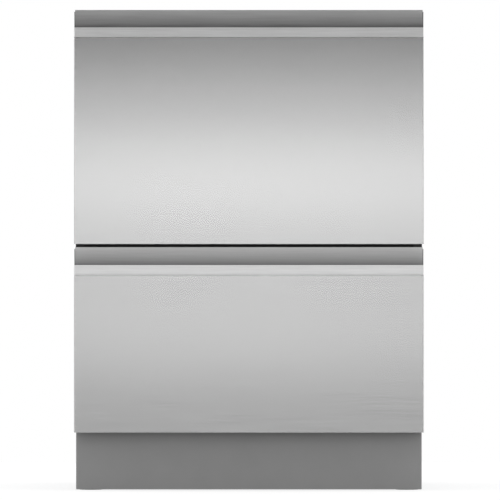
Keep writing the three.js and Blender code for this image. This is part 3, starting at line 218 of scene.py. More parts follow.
def paint_shade_behind_lip(material):
    """Paints shade into the brushed finish behind the lip, the darker the deeper down."""
    tree = material.node_tree
    shader = tree.nodes["Principled BSDF"]
    place = add(tree, "ShaderNodeTexCoord").outputs["Object"]
    parts = add(tree, "ShaderNodeSeparateXYZ", {0: place}).outputs
    from_scoop = {0: parts["Z"], 1: SCOOP_BOTTOM + PITCH, 2: SCOOP_BOTTOM}
    level = add(tree, "ShaderNodeMath", from_scoop, operation="WRAP").outputs[0]
    foot, rim = SCOOP_BOTTOM + SCOOP_DEPTH, SCOOP_BOTTOM + RECESS
    rise = {"Value": level, "From Min": foot, "From Max": rim}
    climb = add(tree, "ShaderNodeMapRange", rise).outputs[0]
    quick = add(tree, "ShaderNodeMath", {0: climb, 1: CLIMB_POWER}, operation="POWER").outputs[0]
    shade_span = {"Value": quick, "To Min": RECESS_PAINTED_SHADE[0], "To Max": RECESS_PAINTED_SHADE[1]}
    painted_shade = add(tree, "ShaderNodeMapRange", shade_span).outputs[0]
    depths = [FRONT + depth * MM for depth in LIP_BACK]
    behind = {"Value": parts["Y"], "From Min": depths[0], "From Max": depths[1]}
    shade_mask = add(tree, "ShaderNodeMapRange", behind).outputs[0]
    share = add(tree, "ShaderNodeMix", {0: shade_mask, 2: 1.0, 3: painted_shade}).outputs[0]
    brushed_colour = shader.inputs["Base Color"].links[0].from_socket
    # painted shade: behind the lip the brushed colour is scaled down, most at the foot of the
    # recess
    mixed = {0: share, 6: (0, 0, 0, 1), 7: brushed_colour}
    colour = add(tree, "ShaderNodeMix", mixed, data_type="RGBA").outputs[2]
    tree.links.new(colour, shader.inputs["Base Color"])


# painted shade in the recesses of both handles
paint_shade_behind_lip(lip_steel)
print("height from scoop to rim in mm:", round(RECESS / MM, 1))

# %% [markdown]
# ## Galvanised sheet
# The cabinet, the base tray and the runners are steel sheet dipped in zinc. As the zinc sets it
# forms crystals, the spangle, about 12 mm across, and each one shines a little differently. A
# Voronoi texture gives just such cells, and its random colour per cell sets the grey and the gloss.
# Its smooth kind blurs the borders a little, soft noise bends the cells out of their straight
# edges, and scratches from handling lie over them.


# %% Galvanised finish
ZINC_GREYS, ZINC_GLOSS = ("#a3a7aa", "#b2b6b8"), (0.38, 0.5)
SPANGLE, BORDER_BLUR = 12, 0.1
BEND, BEND_WAVE = 8, 30
SCRATCH, SCRATCH_HEIGHT = (1.2, 40, 1.2), 0.01


def galvanised(name):
    """Zinc coated steel with a crystal pattern; its sizes are in millimetres."""
    material = blank_material(name)
    tree = material.node_tree
    place = add(tree, "ShaderNodeTexCoord").outputs["Object"]
    soft = add(tree, "ShaderNodeTexNoise", {0: place, "Scale": 1 / (BEND_WAVE * MM)})
    bend = {0: soft.outputs["Color"], 1: [BEND * MM] * 3, 2: place}
    moved = add(tree, "ShaderNodeVectorMath", bend, operation="MULTIPLY_ADD")
    crystals = {0: moved.outputs[0], "Scale": 1 / (SPANGLE * MM), "Smoothness": BORDER_BLUR}
    cells = add(tree, "ShaderNodeTexVoronoi", crystals, feature="SMOOTH_F1")
    parts = add(tree, "ShaderNodeSeparateColor", {0: cells.outputs["Color"]})
    greys = {0: parts.outputs[0], 6: linear(ZINC_GREYS[0]), 7: linear(ZINC_GREYS[1])}
    colour = add(tree, "ShaderNodeMix", greys, data_type="RGBA").outputs[2]
    gloss = {"Value": parts.outputs[1], "To Min": ZINC_GLOSS[0], "To Max": ZINC_GLOSS[1]}
    shine = add(tree, "ShaderNodeMapRange", gloss).outputs[0]
    per_metre = [1 / (size * MM) for size in SCRATCH]
    along = add(tree, "ShaderNodeVectorMath", {0: place, 1: per_metre}, operation="MULTIPLY")
    scratches = add(tree, "ShaderNodeTexNoise", {0: along.outputs[0], "Scale": 1.0}).outputs[0]
    surface(tree, colour, shine, scratches, SCRATCH_HEIGHT, Metallic=1.0)
    return material


zinc_sheet = galvanised("galvanised_sheet")
print("zinc crystals per metre:", round(1 / (SPANGLE * MM)))

# %% [markdown]
# ## Painted and plated metal
# The rail behind the shadow gap is powder coated black, and its near-pure black is partly painted
# shade that keeps the deep gap dark. Powder melts into a skin with a fine orange peel, lumps about
# 1.5 mm wide. The toe kick has a satin grey lacquer. The wires of the racks are dipped in nylon
# powder, which gives a soft sheen and slightly uneven thickness. Paint over metal is no bare metal,
# so metallic is 0 and the paint's IOR is 1.5. The buttons are plastic caps plated with satin
# chrome: that is a metal, blasted to a fine grain.

# %% Painted and plated finishes
PAINT_IOR = 1.5
WEAR = (45, 45, 45)
# painted shade: the rail's near-pure black stands in for the shade deep in the gap
black_paint_and_gap_shade = finish(
    "black_coat_and_gap_shade", ("#060606", "#090909"), WEAR, (0.6, 0.7), (1.5,) * 3, 0.02, IOR=PAINT_IOR
)
kick_lacquer = finish(
    "grey_kick_lacquer", ("#a8a8a8", "#acacac"), WEAR, (0.5, 0.6), (2.0,) * 3, 0.01, IOR=PAINT_IOR
)
wire_nylon = finish(
    "grey_nylon_dip", ("#7b8083", "#84898c"), WEAR, (0.3, 0.38), (5.0,) * 3, 0.08, IOR=PAINT_IOR
)
BLAST = (0.4, 0.4, 0.4)
chrome_caps = finish(
    "satin_chrome_plate", ("#d4d5d6", "#dedfe0"), (6,) * 3, (0.2, 0.3), BLAST, 0.01, Metallic=1.0
)
print("coats:", black_paint_and_gap_shade.name, kick_lacquer.name, wire_nylon.name, chrome_caps.name)

# %% [markdown]
# ## Moulded plastics
# Most of a drawer is injection moulded, and the mould's own surface gives each plastic its look:
# the tub and the lid are polypropylene from a polished mould, the frame of the front is ABS with a
# spark eroded grain about 0.8 mm wide, and the motor is glass filled nylon, which is duller. A
# mould never fills evenly, and the flow leaves faint clouds in the gloss, about 90 mm long. A
# little light passes into pale polypropylene and out again. That softness is subsurface scattering
# over about a millimetre, alike for all colours of light because the plastic is grey. The strip of
# the controls is cast acrylic, which is the smoothest of them and the glossiest.

# %% Moulded finishes
FLOW = (90, 90, 60)
PP_IOR, ABS_IOR, NYLON_IOR, ACRYLIC_IOR = 1.49, 1.53, 1.53, 1.49
SOFT = {
    "IOR": PP_IOR,
    "Subsurface_Weight": 0.1,
    "Subsurface_Scale": 1.2 * MM,
    "Subsurface_Radius": (1, 1, 1),
}
tub_polypropylene = finish(
    "pale_grey_polypropylene", ("#bec3c6", "#c3c8ca"), FLOW, (0.3, 0.34), (2.5,) * 3, 0.006, **SOFT
)
lid_polypropylene = finish(
    "white_grey_polypropylene", ("#d0d3d4", "#d5d7d8"), FLOW, (0.34, 0.38), (1.5,) * 3, 0.01, **SOFT
)
BASKET_GREYS = ("#8b9194", "#95999c")
basket_polypropylene = finish(
    "mid_grey_polypropylene", BASKET_GREYS, FLOW, (0.33, 0.43), (1.2,) * 3, 0.01, IOR=PP_IOR
)
frame_abs = finish(
    "dark_grey_abs", ("#37393b", "#3f4143"), FLOW, (0.4, 0.5), (0.8,) * 3, 0.02, IOR=ABS_IOR
)
dispenser_abs = finish(
    "white_gloss_abs", ("#dfe1e2", "#e6e8e9"), FLOW, (0.13, 0.23), (3.0,) * 3, 0.004, IOR=ABS_IOR
)
MOTOR_BLACKS, GLASS_GRIT = ("#1f2224", "#2a2d30"), (0.6, 0.6, 0.6)
motor_nylon = finish(
    "black_glass_filled_nylon", MOTOR_BLACKS, FLOW, (0.5, 0.6), GLASS_GRIT, 0.03, IOR=NYLON_IOR
)
valve_nylon = finish(
    "ivory_nylon", ("#e0dfd8", "#e9e8e2"), FLOW, (0.37, 0.47), (0.8,) * 3, 0.015, IOR=NYLON_IOR
)
foot_nylon = finish(
    "black_nylon", ("#262829", "#303234"), FLOW, (0.45, 0.55), (0.7,) * 3, 0.02, IOR=NYLON_IOR
)
CAST = (20, 20, 20)
black_acrylic = finish(
    "gloss_black_acrylic", ("#08090a", "#0b0c0d"), FLOW, (0.05, 0.08), CAST, 0.001, IOR=ACRYLIC_IOR
)
smoke_acrylic = finish(
    "smoke_grey_acrylic", ("#54585b", "#5d6164"), FLOW, (0.1, 0.15), CAST, 0.001, IOR=ACRYLIC_IOR
)
print("finishes so far:", len(bpy.data.materials))

# %% [markdown]
# ## Rubber
# The seals are a soft rubber, EPDM, which comes out of the mould dusted with talc. It has hardly
# any gloss, and the dust lightens it in patches a few millimetres wide. A trace of sheen stands for
# the dust that catches light at the edges.

# %% Rubber finish
RUBBER_IOR = 1.52
DUST_PATCH, DUST_GRAIN = (4, 4, 4), (1, 1, 1)
seal_rubber = finish(
    "talc_dusted_rubber",
    ("#242425", "#343435"),
    DUST_PATCH,
    (0.65, 0.8),
    DUST_GRAIN,
    0.05,
    IOR=RUBBER_IOR,
    Sheen_Weight=0.1,
)
print("rubber:", seal_rubber.name)

# %% [markdown]
# ## The finishes go on the solids
# Each solid's name says what it is, so a short table from the end of the name to the finish covers
# both drawers and both sides of the machine. A solid that a finer piece stands in for later has its
# finish too.

# %% A finish for each solid
FINISHES = {
    "front_panel": hairline_steel,
    "handle_rail": lip_steel,
    "middle_rail": black_paint_and_gap_shade,
    "toe_kick": kick_lacquer,
    "side_panel": zinc_sheet,
    "base_tray": zinc_sheet,
    "top_front_rail": zinc_sheet,
    "rear_panel": zinc_sheet,
    "runner_outer": zinc_sheet,
    "runner_middle": zinc_sheet,
    "runner_inner": zinc_sheet,
    "door_frame": frame_abs,
    "button": chrome_caps,
    "tub": tub_polypropylene,
    "filter_plate": basket_polypropylene,
    "spray_arm": basket_polypropylene,
    "wash_motor": motor_nylon,
    "dish_rack": wire_nylon,
    "cup_rack": wire_nylon,
    "cutlery_basket": basket_polypropylene,
    "dispenser": dispenser_abs,
    "dispenser_door": dispenser_abs,
    "lid": lid_polypropylene,
    "lid_seal": seal_rubber,
    "lid_actuator": motor_nylon,
    "inlet_valve": valve_nylon,
    "foot": foot_nylon,
}
for name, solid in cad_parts.items():
    ending = next(end for end in FINISHES if name.endswith(end))
    solid.data.materials.clear()
    solid.data.materials.append(FINISHES[ending])
print("solids with a finish:", len(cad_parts))

# %% [markdown]
# ## Edges that catch the light
# No real edge is perfectly sharp: folded sheet has a small radius, a cut edge is deburred and a
# moulding has a rounded arris. A narrow bevel along every sharp edge draws the thin bright lines
# that make a piece look made. The solids are flat facets, so a short chain of geometry nodes first
# merges their points and marks as smooth all that meets at less than 35 degrees. Both are
# modifiers, and the solids stay as they came.


# %% Smooth shading and soft edges
SMOOTH_BELOW = math.radians(35)
SAME_POINT = 0.01 * MM


def shading_nodes():
    """A node group that merges double points and shades all but sharp edges smooth."""
    tree = bpy.data.node_groups.new("merge_and_smooth", "GeometryNodeTree")
    for direction in ("INPUT", "OUTPUT"):
        tree.interface.new_socket("Geometry", in_out=direction, socket_type="NodeSocketGeometry")
    start = add(tree, "NodeGroupInput")
    flat_normals = {0: start.outputs[0], "Name": "custom_normal"}
    plain = add(tree, "GeometryNodeRemoveAttribute", flat_normals)
    close = {0: plain.outputs[0], "Distance": SAME_POINT}
    merged = add(tree, "GeometryNodeMergeByDistance", close)
    faces = {"Geometry": merged.outputs[0], "Shade Smooth": True}
    smooth = add(tree, "GeometryNodeSetShadeSmooth", faces, domain="FACE")
    angle = add(tree, "GeometryNodeInputMeshEdgeAngle")
    limit = {0: angle.outputs[0], 1: SMOOTH_BELOW}
    sharp = add(tree, "FunctionNodeCompare", limit, operation="GREATER_THAN")
    edges = {"Geometry": smooth.outputs[0], "Selection": sharp.outputs[0], "Shade Smooth": False}
    shaded = add(tree, "GeometryNodeSetShadeSmooth", edges, domain="EDGE")
    add(tree, "NodeGroupOutput", {0: shaded.outputs[0]})
    return tree


def soften(piece, width_mm):
    """Smooth shading, and a bevel width_mm wide on sharp edges."""
    piece.modifiers.new("shading", "NODES").node_group = merge_and_smooth
    bevel = piece.modifiers.new("soft_edges", "BEVEL")
    bevel.width = width_mm * MM
    bevel.segments = 2
    bevel.limit_method = "ANGLE"
    bevel.angle_limit = SMOOTH_BELOW
    bevel.harden_normals = True


merge_and_smooth = shading_nodes()
EDGE_WIDTHS = {"front_panel": 0.3, "handle_rail": 0.4, "door_frame": 0.5, "toe_kick": 0.4}
OTHER_EDGES = 0.25
for name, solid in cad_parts.items():
    widths = [width for end, width in EDGE_WIDTHS.items() if name.endswith(end)]
    soften(solid, widths[0] if widths else OTHER_EDGES)
print("softened solids:", len(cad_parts))

# %% [markdown]
# ## Where new pieces go
# Both drawers are alike, so their pieces are drawn once, in millimetres from the middle of the
# width, from the front face and from the underside of the drawer's motor. One function turns such
# a place into the frame's metres, for either drawer or for the cabinet. Another shows a mesh or a
# curve as a piece of a moving body. Where the piece is a finer shape of a solid, it stands in for
# that solid.

# %% Places and pieces
FOOT = {module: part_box(f"{module}_wash_motor")[0].z for module in MODULES}
FOOT["cabinet"] = 0.0


def spot(unit, x, y, z):
    """A place of a drawer or of the cabinet, given in millimetres."""
    return Vector((x * MM, FRONT + y * MM, FOOT[unit] + z * MM))


def piece(name, data, surface, slot, body, *solids):
    """Shows a mesh or curve as a piece of a body, in place of the solids that are named."""
    data.materials.append(surface)
    shown = bpy.data.objects.new(name, data)
    bpy.context.scene.collection.objects.link(shown)
    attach(shown, body)
    if solids:
        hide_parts(*solids)
    return shown


def limits(node, unit):
    """The corners of a solid's box, in the millimetres of its drawer."""
    return [(corner - spot(unit, 0, 0, 0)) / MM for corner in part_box(node)]


print("drawer heights in mm:", {unit: round(z / MM, 2) for unit, z in FOOT.items()})

# %% [markdown]
# ## Bent wire
# A dish rack is made of straight wires bent on a tool, laid across each other, spot welded and then
# dipped. So a wire is drawn here as it is bent: a list of corners, each rounded to the tool's
# radius. A Blender curve with a round bevel then gives it thickness, where a mesh would need many
# rings by hand. The bevel is half a millimetre and each point's radius multiplies it by the wire's
# diameter, so thick and thin wires share one curve. At a free end it shrinks to a dome with a tiny
# tip, as the nylon does when it sets.


# %% A bent wire
BEND_STEPS, DOME_STEPS = 5, 4
BEND_RADIUS = 14
TIP = 0.02


def bent(corners, radius):
    """The points of a wire whose corners are rounded."""
    points = [Vector(corners[0])]
    for before, corner, after in zip(corners, corners[1:], corners[2:]):
        corner = Vector(corner)
        back, on = Vector(before) - corner, Vector(after) - corner
        tangent = radius / math.tan(back.angle(on) / 2)
        reach = min(tangent, back.length / 2, on.length / 2)
        start, end = corner + back.normalized() * reach, corner + on.normalized() * reach
        for step in range(BEND_STEPS + 1):
            share = step / BEND_STEPS
            points.append(start.lerp(corner, share).lerp(corner.lerp(end, share), share))
    points.append(Vector(corners[-1]))
    return points


def wires(name, unit, runs, bend_radius=BEND_RADIUS):
    """A curve of many wires; each run is a wire's diameter and its corners."""
    curve = bpy.data.curves.new(name, "CURVE")
    curve.dimensions = "3D"
    curve.bevel_depth = 0.5 * MM
    curve.bevel_resolution = 2
    curve.use_fill_caps = True
    for diameter, corners in runs:
        path = bent(corners, bend_radius)
        tip = (path[-1] - path[-2]).normalized() * diameter / 2
        rings = [(place, diameter) for place in path]
        for step in range(1, DOME_STEPS + 1):
            angle = math.pi / 2 * step / DOME_STEPS
            rings.append((path[-1] + tip * math.sin(angle), diameter * math.cos(angle) + TIP))
        spline = curve.splines.new("POLY")
        spline.points.add(len(rings) - 1)
        for point, (place, thickness) in zip(spline.points, rings):
            point.co = (*spot(unit, *place), 1.0)
            point.radius = thickness
    return curve


two_bends = [(0, 0, 0), (9, 0, 0), (9, 9, 0), (0, 9, 0)]
print("points in a wire with two bends:", len(bent(two_bends, 2)))

# %% [markdown]
# ## The dish rack
# Wires bent to a U run both ways and lie in two layers, welded where they cross. Their ends stand
# up as the walls and meet the rim, a thicker hoop that dips at the front so that plates can be seen
# and reached. A second hoop stiffens the walls halfway up. Three rows of tines hold plates on edge.

# %% Measures of the dish rack
low, high = limits("lower_dish_rack", "lower")
SIDE_INSET, END_INSET = 2, 4
RACK_SIDE = high.x - SIDE_INSET
RACK_FRONT, RACK_BACK = low.y + END_INSET, high.y - END_INSET
RIM, FRONT_RIM = 150, 108
BASE_LAYERS = (77, 74.2)
RIM_WIRE, GRID_WIRE, TINE_WIRE = 4.6, 3.4, 3.2
COLUMNS, ROWS = 16, 10
SLOPE_END = RACK_FRONT + (RACK_BACK - RACK_FRONT) / 5
HOOP_INSET, HOOP_HEIGHT = 3, 113
TINE_COLUMNS, TINES = (2, 6, 10), 7
TINE_TOP, TINE_PITCH = 144.4, 40
FIRST_TINE = RACK_FRONT + 58


def rim_height(y):
    """The rim climbs from the front to its full height."""
    share = min((y - RACK_FRONT) / (SLOPE_END - RACK_FRONT), 1.0)
    return FRONT_RIM + (RIM - FRONT_RIM) * share


def column(i):
    """The place across of a wire that runs from front to back."""
    return RACK_SIDE * (2 * i / COLUMNS - 1)


print("mesh of the rack in mm:", round(column(1) - column(0)), "across")


# %% Wires of the dish rack
def rack_wires():
    """All wires of the rack: diameter and corners."""
    upper_layer, lower_layer = BASE_LAYERS
    runs = []
    for j in range(1, ROWS):
        y = RACK_FRONT + (RACK_BACK - RACK_FRONT) * j / ROWS
        sides = [(-RACK_SIDE, y, rim_height(y)), (RACK_SIDE, y, rim_height(y))]
        floor = [(-RACK_SIDE, y, upper_layer), (RACK_SIDE, y, upper_layer)]
        runs.append((GRID_WIRE, [sides[0], *floor, sides[1]]))
    for i in range(1, COLUMNS):
        x = column(i)
        floor = [(x, RACK_FRONT, lower_layer), (x, RACK_BACK, lower_layer)]
        runs.append((GRID_WIRE, [(x, RACK_FRONT, FRONT_RIM), *floor, (x, RACK_BACK, RIM)]))
    for i in TINE_COLUMNS:
        for k in range(TINES):
            foot = (column(i), FIRST_TINE + TINE_PITCH * k, lower_layer)
            runs.append((TINE_WIRE, [foot, (*foot[:2], TINE_TOP)]))
    return runs


def hoops():
    """The rim, from the middle of the back round to it again, and the hoop below it."""
    s, front, back = RACK_SIDE, RACK_FRONT, RACK_BACK
    climb = [(s, SLOPE_END, RIM), (s, front, FRONT_RIM)]
    mirrored = [(-x, y, z) for x, y, z in reversed(climb)]
    rim = [(0, back, RIM), (s, back, RIM), *climb, *mirrored, (-s, back, RIM), (0, back, RIM)]
    inner, height = s - HOOP_INSET, HOOP_HEIGHT
    hoop = [(-inner, SLOPE_END, height), (-inner, back - HOOP_INSET, height)]
    hoop += [(-x, y, z) for x, y, z in reversed(hoop)]
    return [(RIM_WIRE, rim), (GRID_WIRE, hoop)]


for module in MODULES:
    rack = wires(f"{module}_rack_wires", module, rack_wires() + hoops())
    node = f"{module}_dish_rack"
    piece(f"{module}_rack_wires", rack, wire_nylon, "nylon_wire", f"{module}_drawer", node)
print("wires in a rack:", len(rack_wires()) + len(hoops()))

# %% [markdown]
# ## The cup rack
# A light shelf of wire hangs over the left side of the dish rack and folds up against the wall of
# the tub. Its back rod turns in two clips, so the rod is the hinge, and a loop with cross wires is
# welded to it. It is bent wire again, on the body that folds.

# %% Cup rack
low, high = limits("lower_cup_rack", "lower")
PIVOT_WIRE = high.z - low.z
PIVOT_X, PIVOT_Z = low.x + PIVOT_WIRE / 2, (low.z + high.z) / 2
SHELF_EDGE = high.x - SIDE_INSET
SHELF_Y = (low.y + SIDE_INSET, high.y - SIDE_INSET)
SHELF_WIRES = 11
LOOP_WIRE, CROSS_WIRE, STIFFENER_WIRE = 4, 2.8, 3.2
LOOP_INSET, STIFFENER_DROP = 4, 2


def cup_wires():
    """The rod, the loop, the wires across it and one that stiffens them from below."""
    (y0, y1), z = SHELF_Y, PIVOT_Z
    near, far = y0 + LOOP_INSET, y1 - LOOP_INSET
    rod = [(PIVOT_X, y0, z), (PIVOT_X, y1, z)]
    loop = [(PIVOT_X, near, z), (SHELF_EDGE, near, z), (SHELF_EDGE, far, z), (PIVOT_X, far, z)]
    runs = [(PIVOT_WIRE, rod), (LOOP_WIRE, loop)]
    for i in range(1, SHELF_WIRES):
        y = near + (y1 - y0 - 2 * LOOP_INSET) * i / SHELF_WIRES
        runs.append((CROSS_WIRE, [(PIVOT_X, y, z), (SHELF_EDGE, y, z)]))
    middle, below = (PIVOT_X + SHELF_EDGE) / 2, z - STIFFENER_DROP
    runs.append((STIFFENER_WIRE, [(middle, near, below), (middle, far, below)]))
    return runs


for module in MODULES:
    shelf = wires(f"{module}_cup_shelf_wires", module, cup_wires())
    node, body = f"{module}_cup_rack", f"{module}_cup_shelf"
    piece(f"{module}_cup_shelf_wires", shelf, wire_nylon, "nylon_wire", body, node)
print("pivot wire in mm:", round(PIVOT_WIRE, 1))

# %% [markdown]
# ## Small moulded pieces
# Feet, clips, button caps and screw heads are either turned or cut from a flat outline, so two
# functions cover them. One spins a profile of radius and height, and lets a ring have six lobes, as
# the socket of a screw has. The other gives an outline its thickness. Both add to a mesh that is
# being built, and a matrix puts the shape where it belongs.


# %% Turned and flat shapes
LOBES = 6


def turn(mesh, profile, place, steps=24):
    """A turned shape. Each ring has a radius, a height and the depth of its lobes."""
    rings = []
    for radius, height, lobe in profile:
        angles = [2 * math.pi * step / steps for step in range(steps)]
        reach = [radius + lobe * math.cos(LOBES * angle) for angle in angles]
        corners = [(r * math.cos(a), r * math.sin(a), height) for r, a in zip(reach, angles)]
        rings.append([mesh.verts.new(place @ (Vector(corner) * MM)) for corner in corners])
    for lower, upper in zip(rings, rings[1:]):
        for i in range(steps):
            j = (i + 1) % steps
            mesh.faces.new((lower[i], lower[j], upper[j], upper[i]))
    mesh.faces.new(list(reversed(rings[0])))
    mesh.faces.new(rings[-1])


def thicken(mesh, outline, span, place):
    """An outline of two coordinates, given thickness between the two limits of span."""
    lower, upper = [
        [mesh.verts.new(place @ (Vector((u, v, w)) * MM)) for u, v in outline] for w in span
    ]
    for i in range(len(outline)):
        j = (i + 1) % len(outline)
        mesh.faces.new((lower[i], lower[j], upper[j], upper[i]))
    mesh.faces.new(list(reversed(lower)))
    mesh.faces.new(upper)


def finished_mesh(name, mesh):
    """The built mesh as data for a piece, with its faces turned outwards."""
    bmesh.ops.recalc_face_normals(mesh, faces=mesh.faces)
    data = bpy.data.meshes.new(name)
    mesh.to_mesh(data)
    mesh.free()
    return data


def at(unit, x, y, z):
    """A matrix that carries a shape to a place, upright."""
    return Matrix.Translation(spot(unit, x, y, z))


print("a place on the floor, 100 mm behind the front:", at("cabinet", 0, 100, 0).translation)

# %% [markdown]
# ## Feet and clips of the rack
# The rack stands in the tub on four moulded feet that snap over its wires, and two C shaped clips
# on its rim hold the rod of the cup rack. A clip is an open ring on a stem: the rod is pressed in
# from above. Both are moulded in the mid grey plastic of the basket.

# %% Rack feet and clips
FEET_Y = (RACK_FRONT, RACK_BACK)
CLIP_Y = (FIRST_TINE + 30, RACK_BACK - 88)
CLIP_LENGTH = 10
CLIP_BORE, CLIP_OUTSIDE = PIVOT_WIRE / 2 + 0.3, PIVOT_WIRE / 2 + 2.4
MOUTH, MOUTH_STEPS = math.radians(50), 20
CLIP_STEM = [(1, RIM - PIVOT_Z - 3.5), (-5, RIM - PIVOT_Z - 3.5)]
FEET_COLUMNS = (2, COLUMNS - 2)
foot_bottom = limits("lower_dish_rack", "lower")[0].z
FOOT_PROFILE = [
    (3.6, foot_bottom, 0),
    (4.6, foot_bottom + 0.8, 0),
    (3.4, foot_bottom + 24, 0),
    (3.6, BASE_LAYERS[1] - 6, 0),
    (4.6, BASE_LAYERS[1] - 3, 0),
    (4.6, BASE_LAYERS[0] + 2, 0),
    (3.2, BASE_LAYERS[0] + 3.4, 0),
]


def clip_outline():
    """An open ring round the rod, on a stem that wraps the rim below it."""
    first, last = math.pi / 2 - MOUTH, math.pi / 2 + MOUTH - 2 * math.pi
    arc = [first + (last - first) * step / MOUTH_STEPS for step in range(MOUTH_STEPS + 1)]
    outer = [(CLIP_OUTSIDE * math.cos(a), CLIP_OUTSIDE * math.sin(a)) for a in arc]
    inner = [(CLIP_BORE * math.cos(a), CLIP_BORE * math.sin(a)) for a in reversed(arc)]
    half = len(outer) // 2
    return outer[: half - 1] + CLIP_STEM + outer[half + 2 :] + inner


print("clip bore in mm:", round(2 * CLIP_BORE, 1))

# %% Both sets of feet and clips
upright = Matrix.Rotation(math.pi / 2, 4, "X")
for module in MODULES:
    mesh = bmesh.new()
    for i in FEET_COLUMNS:
        for y in FEET_Y:
            turn(mesh, FOOT_PROFILE, at(module, column(i), y, 0))
    for y in CLIP_Y:
        place = at(module, PIVOT_X, y, PIVOT_Z) @ upright
        thicken(mesh, clip_outline(), (-CLIP_LENGTH / 2, CLIP_LENGTH / 2), place)
    name, body = f"{module}_rack_fittings", f"{module}_drawer"
    data = finished_mesh(name, mesh)
    soften(piece(name, data, basket_polypropylene, "basket_plastic", body), 0.3)
print("feet of a rack:", len(FEET_COLUMNS) * len(FEET_Y))

# %% [markdown]
# ## The handle of the cutlery basket
# The basket lifts out by an arched handle that rises from its two dividers. It is moulded, but
# round and of one thickness, so it is drawn like a wire with wide bends.

# %% Basket handle
low, high = limits("lower_cutlery_basket", "lower")
HANDLE_HEIGHT, HANDLE_ROOT = 42, 10
HANDLE_THICKNESS, HANDLE_BEND = 7, 22
HANDLE_LEAN = 12


def handle_corners():
    """Up from one divider, along and down to the other, leaning in a little."""
    x = (low.x + high.x) / 2
    third = (high.y - low.y) / 3
    top = high.z + HANDLE_HEIGHT
    root = high.z - HANDLE_ROOT
    feet = [(x, low.y + third, root), (x, high.y - third, root)]
    grip = [(x, low.y + third + HANDLE_LEAN, top), (x, high.y - third - HANDLE_LEAN, top)]
    return [feet[0], *grip, feet[1]]


for module in MODULES:
    name, body = f"{module}_basket_handle", f"{module}_drawer"
    handle = wires(name, module, [(HANDLE_THICKNESS, handle_corners())], HANDLE_BEND)
    piece(name, handle, basket_polypropylene, "basket_plastic", body)
print("handle top in mm:", round(high.z + HANDLE_HEIGHT))

# %% [markdown]
# ## The control strip
# The top edge of each inner door carries the controls, seen only with the drawer open. Between the
# two chrome buttons lies a strip of black acrylic with rounded ends, and set into it are small
# windows for a display and lights. They are off, so they show as slightly paler panes. Nothing is
# printed. Flat plates with round corners do for both, and each pane stands a hair proud.

# %% Control strip
STRIP_HALF, STRIP_CORNER, STRIP_HEIGHT = (188, 12), 5, 0.5
DISPLAY_HALF, LIGHT_HALF, PANE_CORNER = (24, 5.5), (2, 2), 2
PANE_SINK, PANE_RISE = 0.1, 0.12
LIGHTS, FIRST_LIGHT, LIGHT_PITCH = 5, 62, 22
button_low, button_high = limits("lower_power_button", "lower")
STRIP_Y = (button_low.y + button_high.y) / 2
BUTTON_RISE = 1.4


def rounded_plate(half, radius, steps=6):
    """The outline of a rectangle with round corners, about its middle."""
    points = []
    for corner, (sx, sy) in enumerate(((1, 1), (-1, 1), (-1, -1), (1, -1))):
        middle = Vector((sx * (half[0] - radius), sy * (half[1] - radius)))
        for step in range(steps + 1):
            angle = math.pi / 2 * (corner + step / steps)
            points.append(middle + Vector((math.cos(angle), math.sin(angle))) * radius)
    return [(point.x, point.y) for point in points]


for module in MODULES:
    deck = limits(f"{module}_power_button", module)[1].z - BUTTON_RISE
    body = f"{module}_drawer"
    mesh = bmesh.new()
    top = deck + STRIP_HEIGHT
    plate = rounded_plate(STRIP_HALF, STRIP_CORNER)
    thicken(mesh, plate, (deck, top), at(module, 0, STRIP_Y, 0))
    data = finished_mesh(f"{module}_control_strip", mesh)
    strip = piece(f"{module}_control_strip", data, black_acrylic, "frame_plastic", body)
    soften(strip, 0.15)
    mesh = bmesh.new()
    pane = (top - PANE_SINK, top + PANE_RISE)
    thicken(mesh, rounded_plate(DISPLAY_HALF, PANE_CORNER), pane, at(module, 0, STRIP_Y, 0))
    for side in SIDES:
        for k in range(LIGHTS):
            place = at(module, side * (FIRST_LIGHT + LIGHT_PITCH * k), STRIP_Y, 0)
            thicken(mesh, rounded_plate(LIGHT_HALF, PANE_CORNER), pane, place)
    data = finished_mesh(f"{module}_control_windows", mesh)
    panes = piece(f"{module}_control_windows", data, smoke_acrylic, "frame_plastic", body)
    soften(panes, 0.05)
print("control strip in mm:", 2 * STRIP_HALF[0], "by", 2 * STRIP_HALF[1])

# %% [markdown]
# ## The buttons
# Each button is a turned cap that stands a little proud of the deck. Its rim is rounded and its top
# is dished for a fingertip, which shows as a ring of light in the chrome. Under the deck a collar
# holds it in, and a stem reaches the switch. It stands in for a solid that is the same button with
# fewer sides and a flat top.

# %% Button caps
STEM_AND_COLLAR = [(3, 0), (3, 6.5), (9, 6.5), (9, 8), (7, 8)]
CAP = [(7, -0.5), (6.85, -0.18), (6.5, 0), (6, 0), (4.6, -0.28), (3, -0.45), (1, -0.55)]
CAP_STEPS = 36


def cap_profile(bottom, top):
    """Stem and collar, measured from the foot, and the cap and its dish, from the top."""
    below = [(radius, bottom + height, 0) for radius, height in STEM_AND_COLLAR]
    return below + [(radius, top + height, 0) for radius, height in CAP]


for module in MODULES:
    for button in ("power", "start"):
        node = f"{module}_{button}_button"
        low, high = limits(node, module)
        mesh = bmesh.new()
        place = at(module, (low.x + high.x) / 2, STRIP_Y, 0)
        turn(mesh, cap_profile(low.z, high.z), place, CAP_STEPS)
        data = finished_mesh(f"{module}_{button}_cap", mesh)
        body = f"{module}_{button}_button_cap"
        cap = piece(f"{module}_{button}_cap", data, chrome_caps, "button_metal", body, node)
        cap.modifiers.new("shading", "NODES").node_group = merge_and_smooth
print("button caps in mm:", 2 * CAP[0][0])

# %% [markdown]
# ## The edge seal of the cabinet
# A strip of soft rubber runs down the front edge of each side panel. The drawer fronts close on it,
# it keeps steam from the cupboards on both sides, and it makes the ends of the shadow gap dark. It
# stops where a runner comes through the edge. Its section has a flat back and a full round front:
# half a wave of the sine, made fuller by a power below 1.

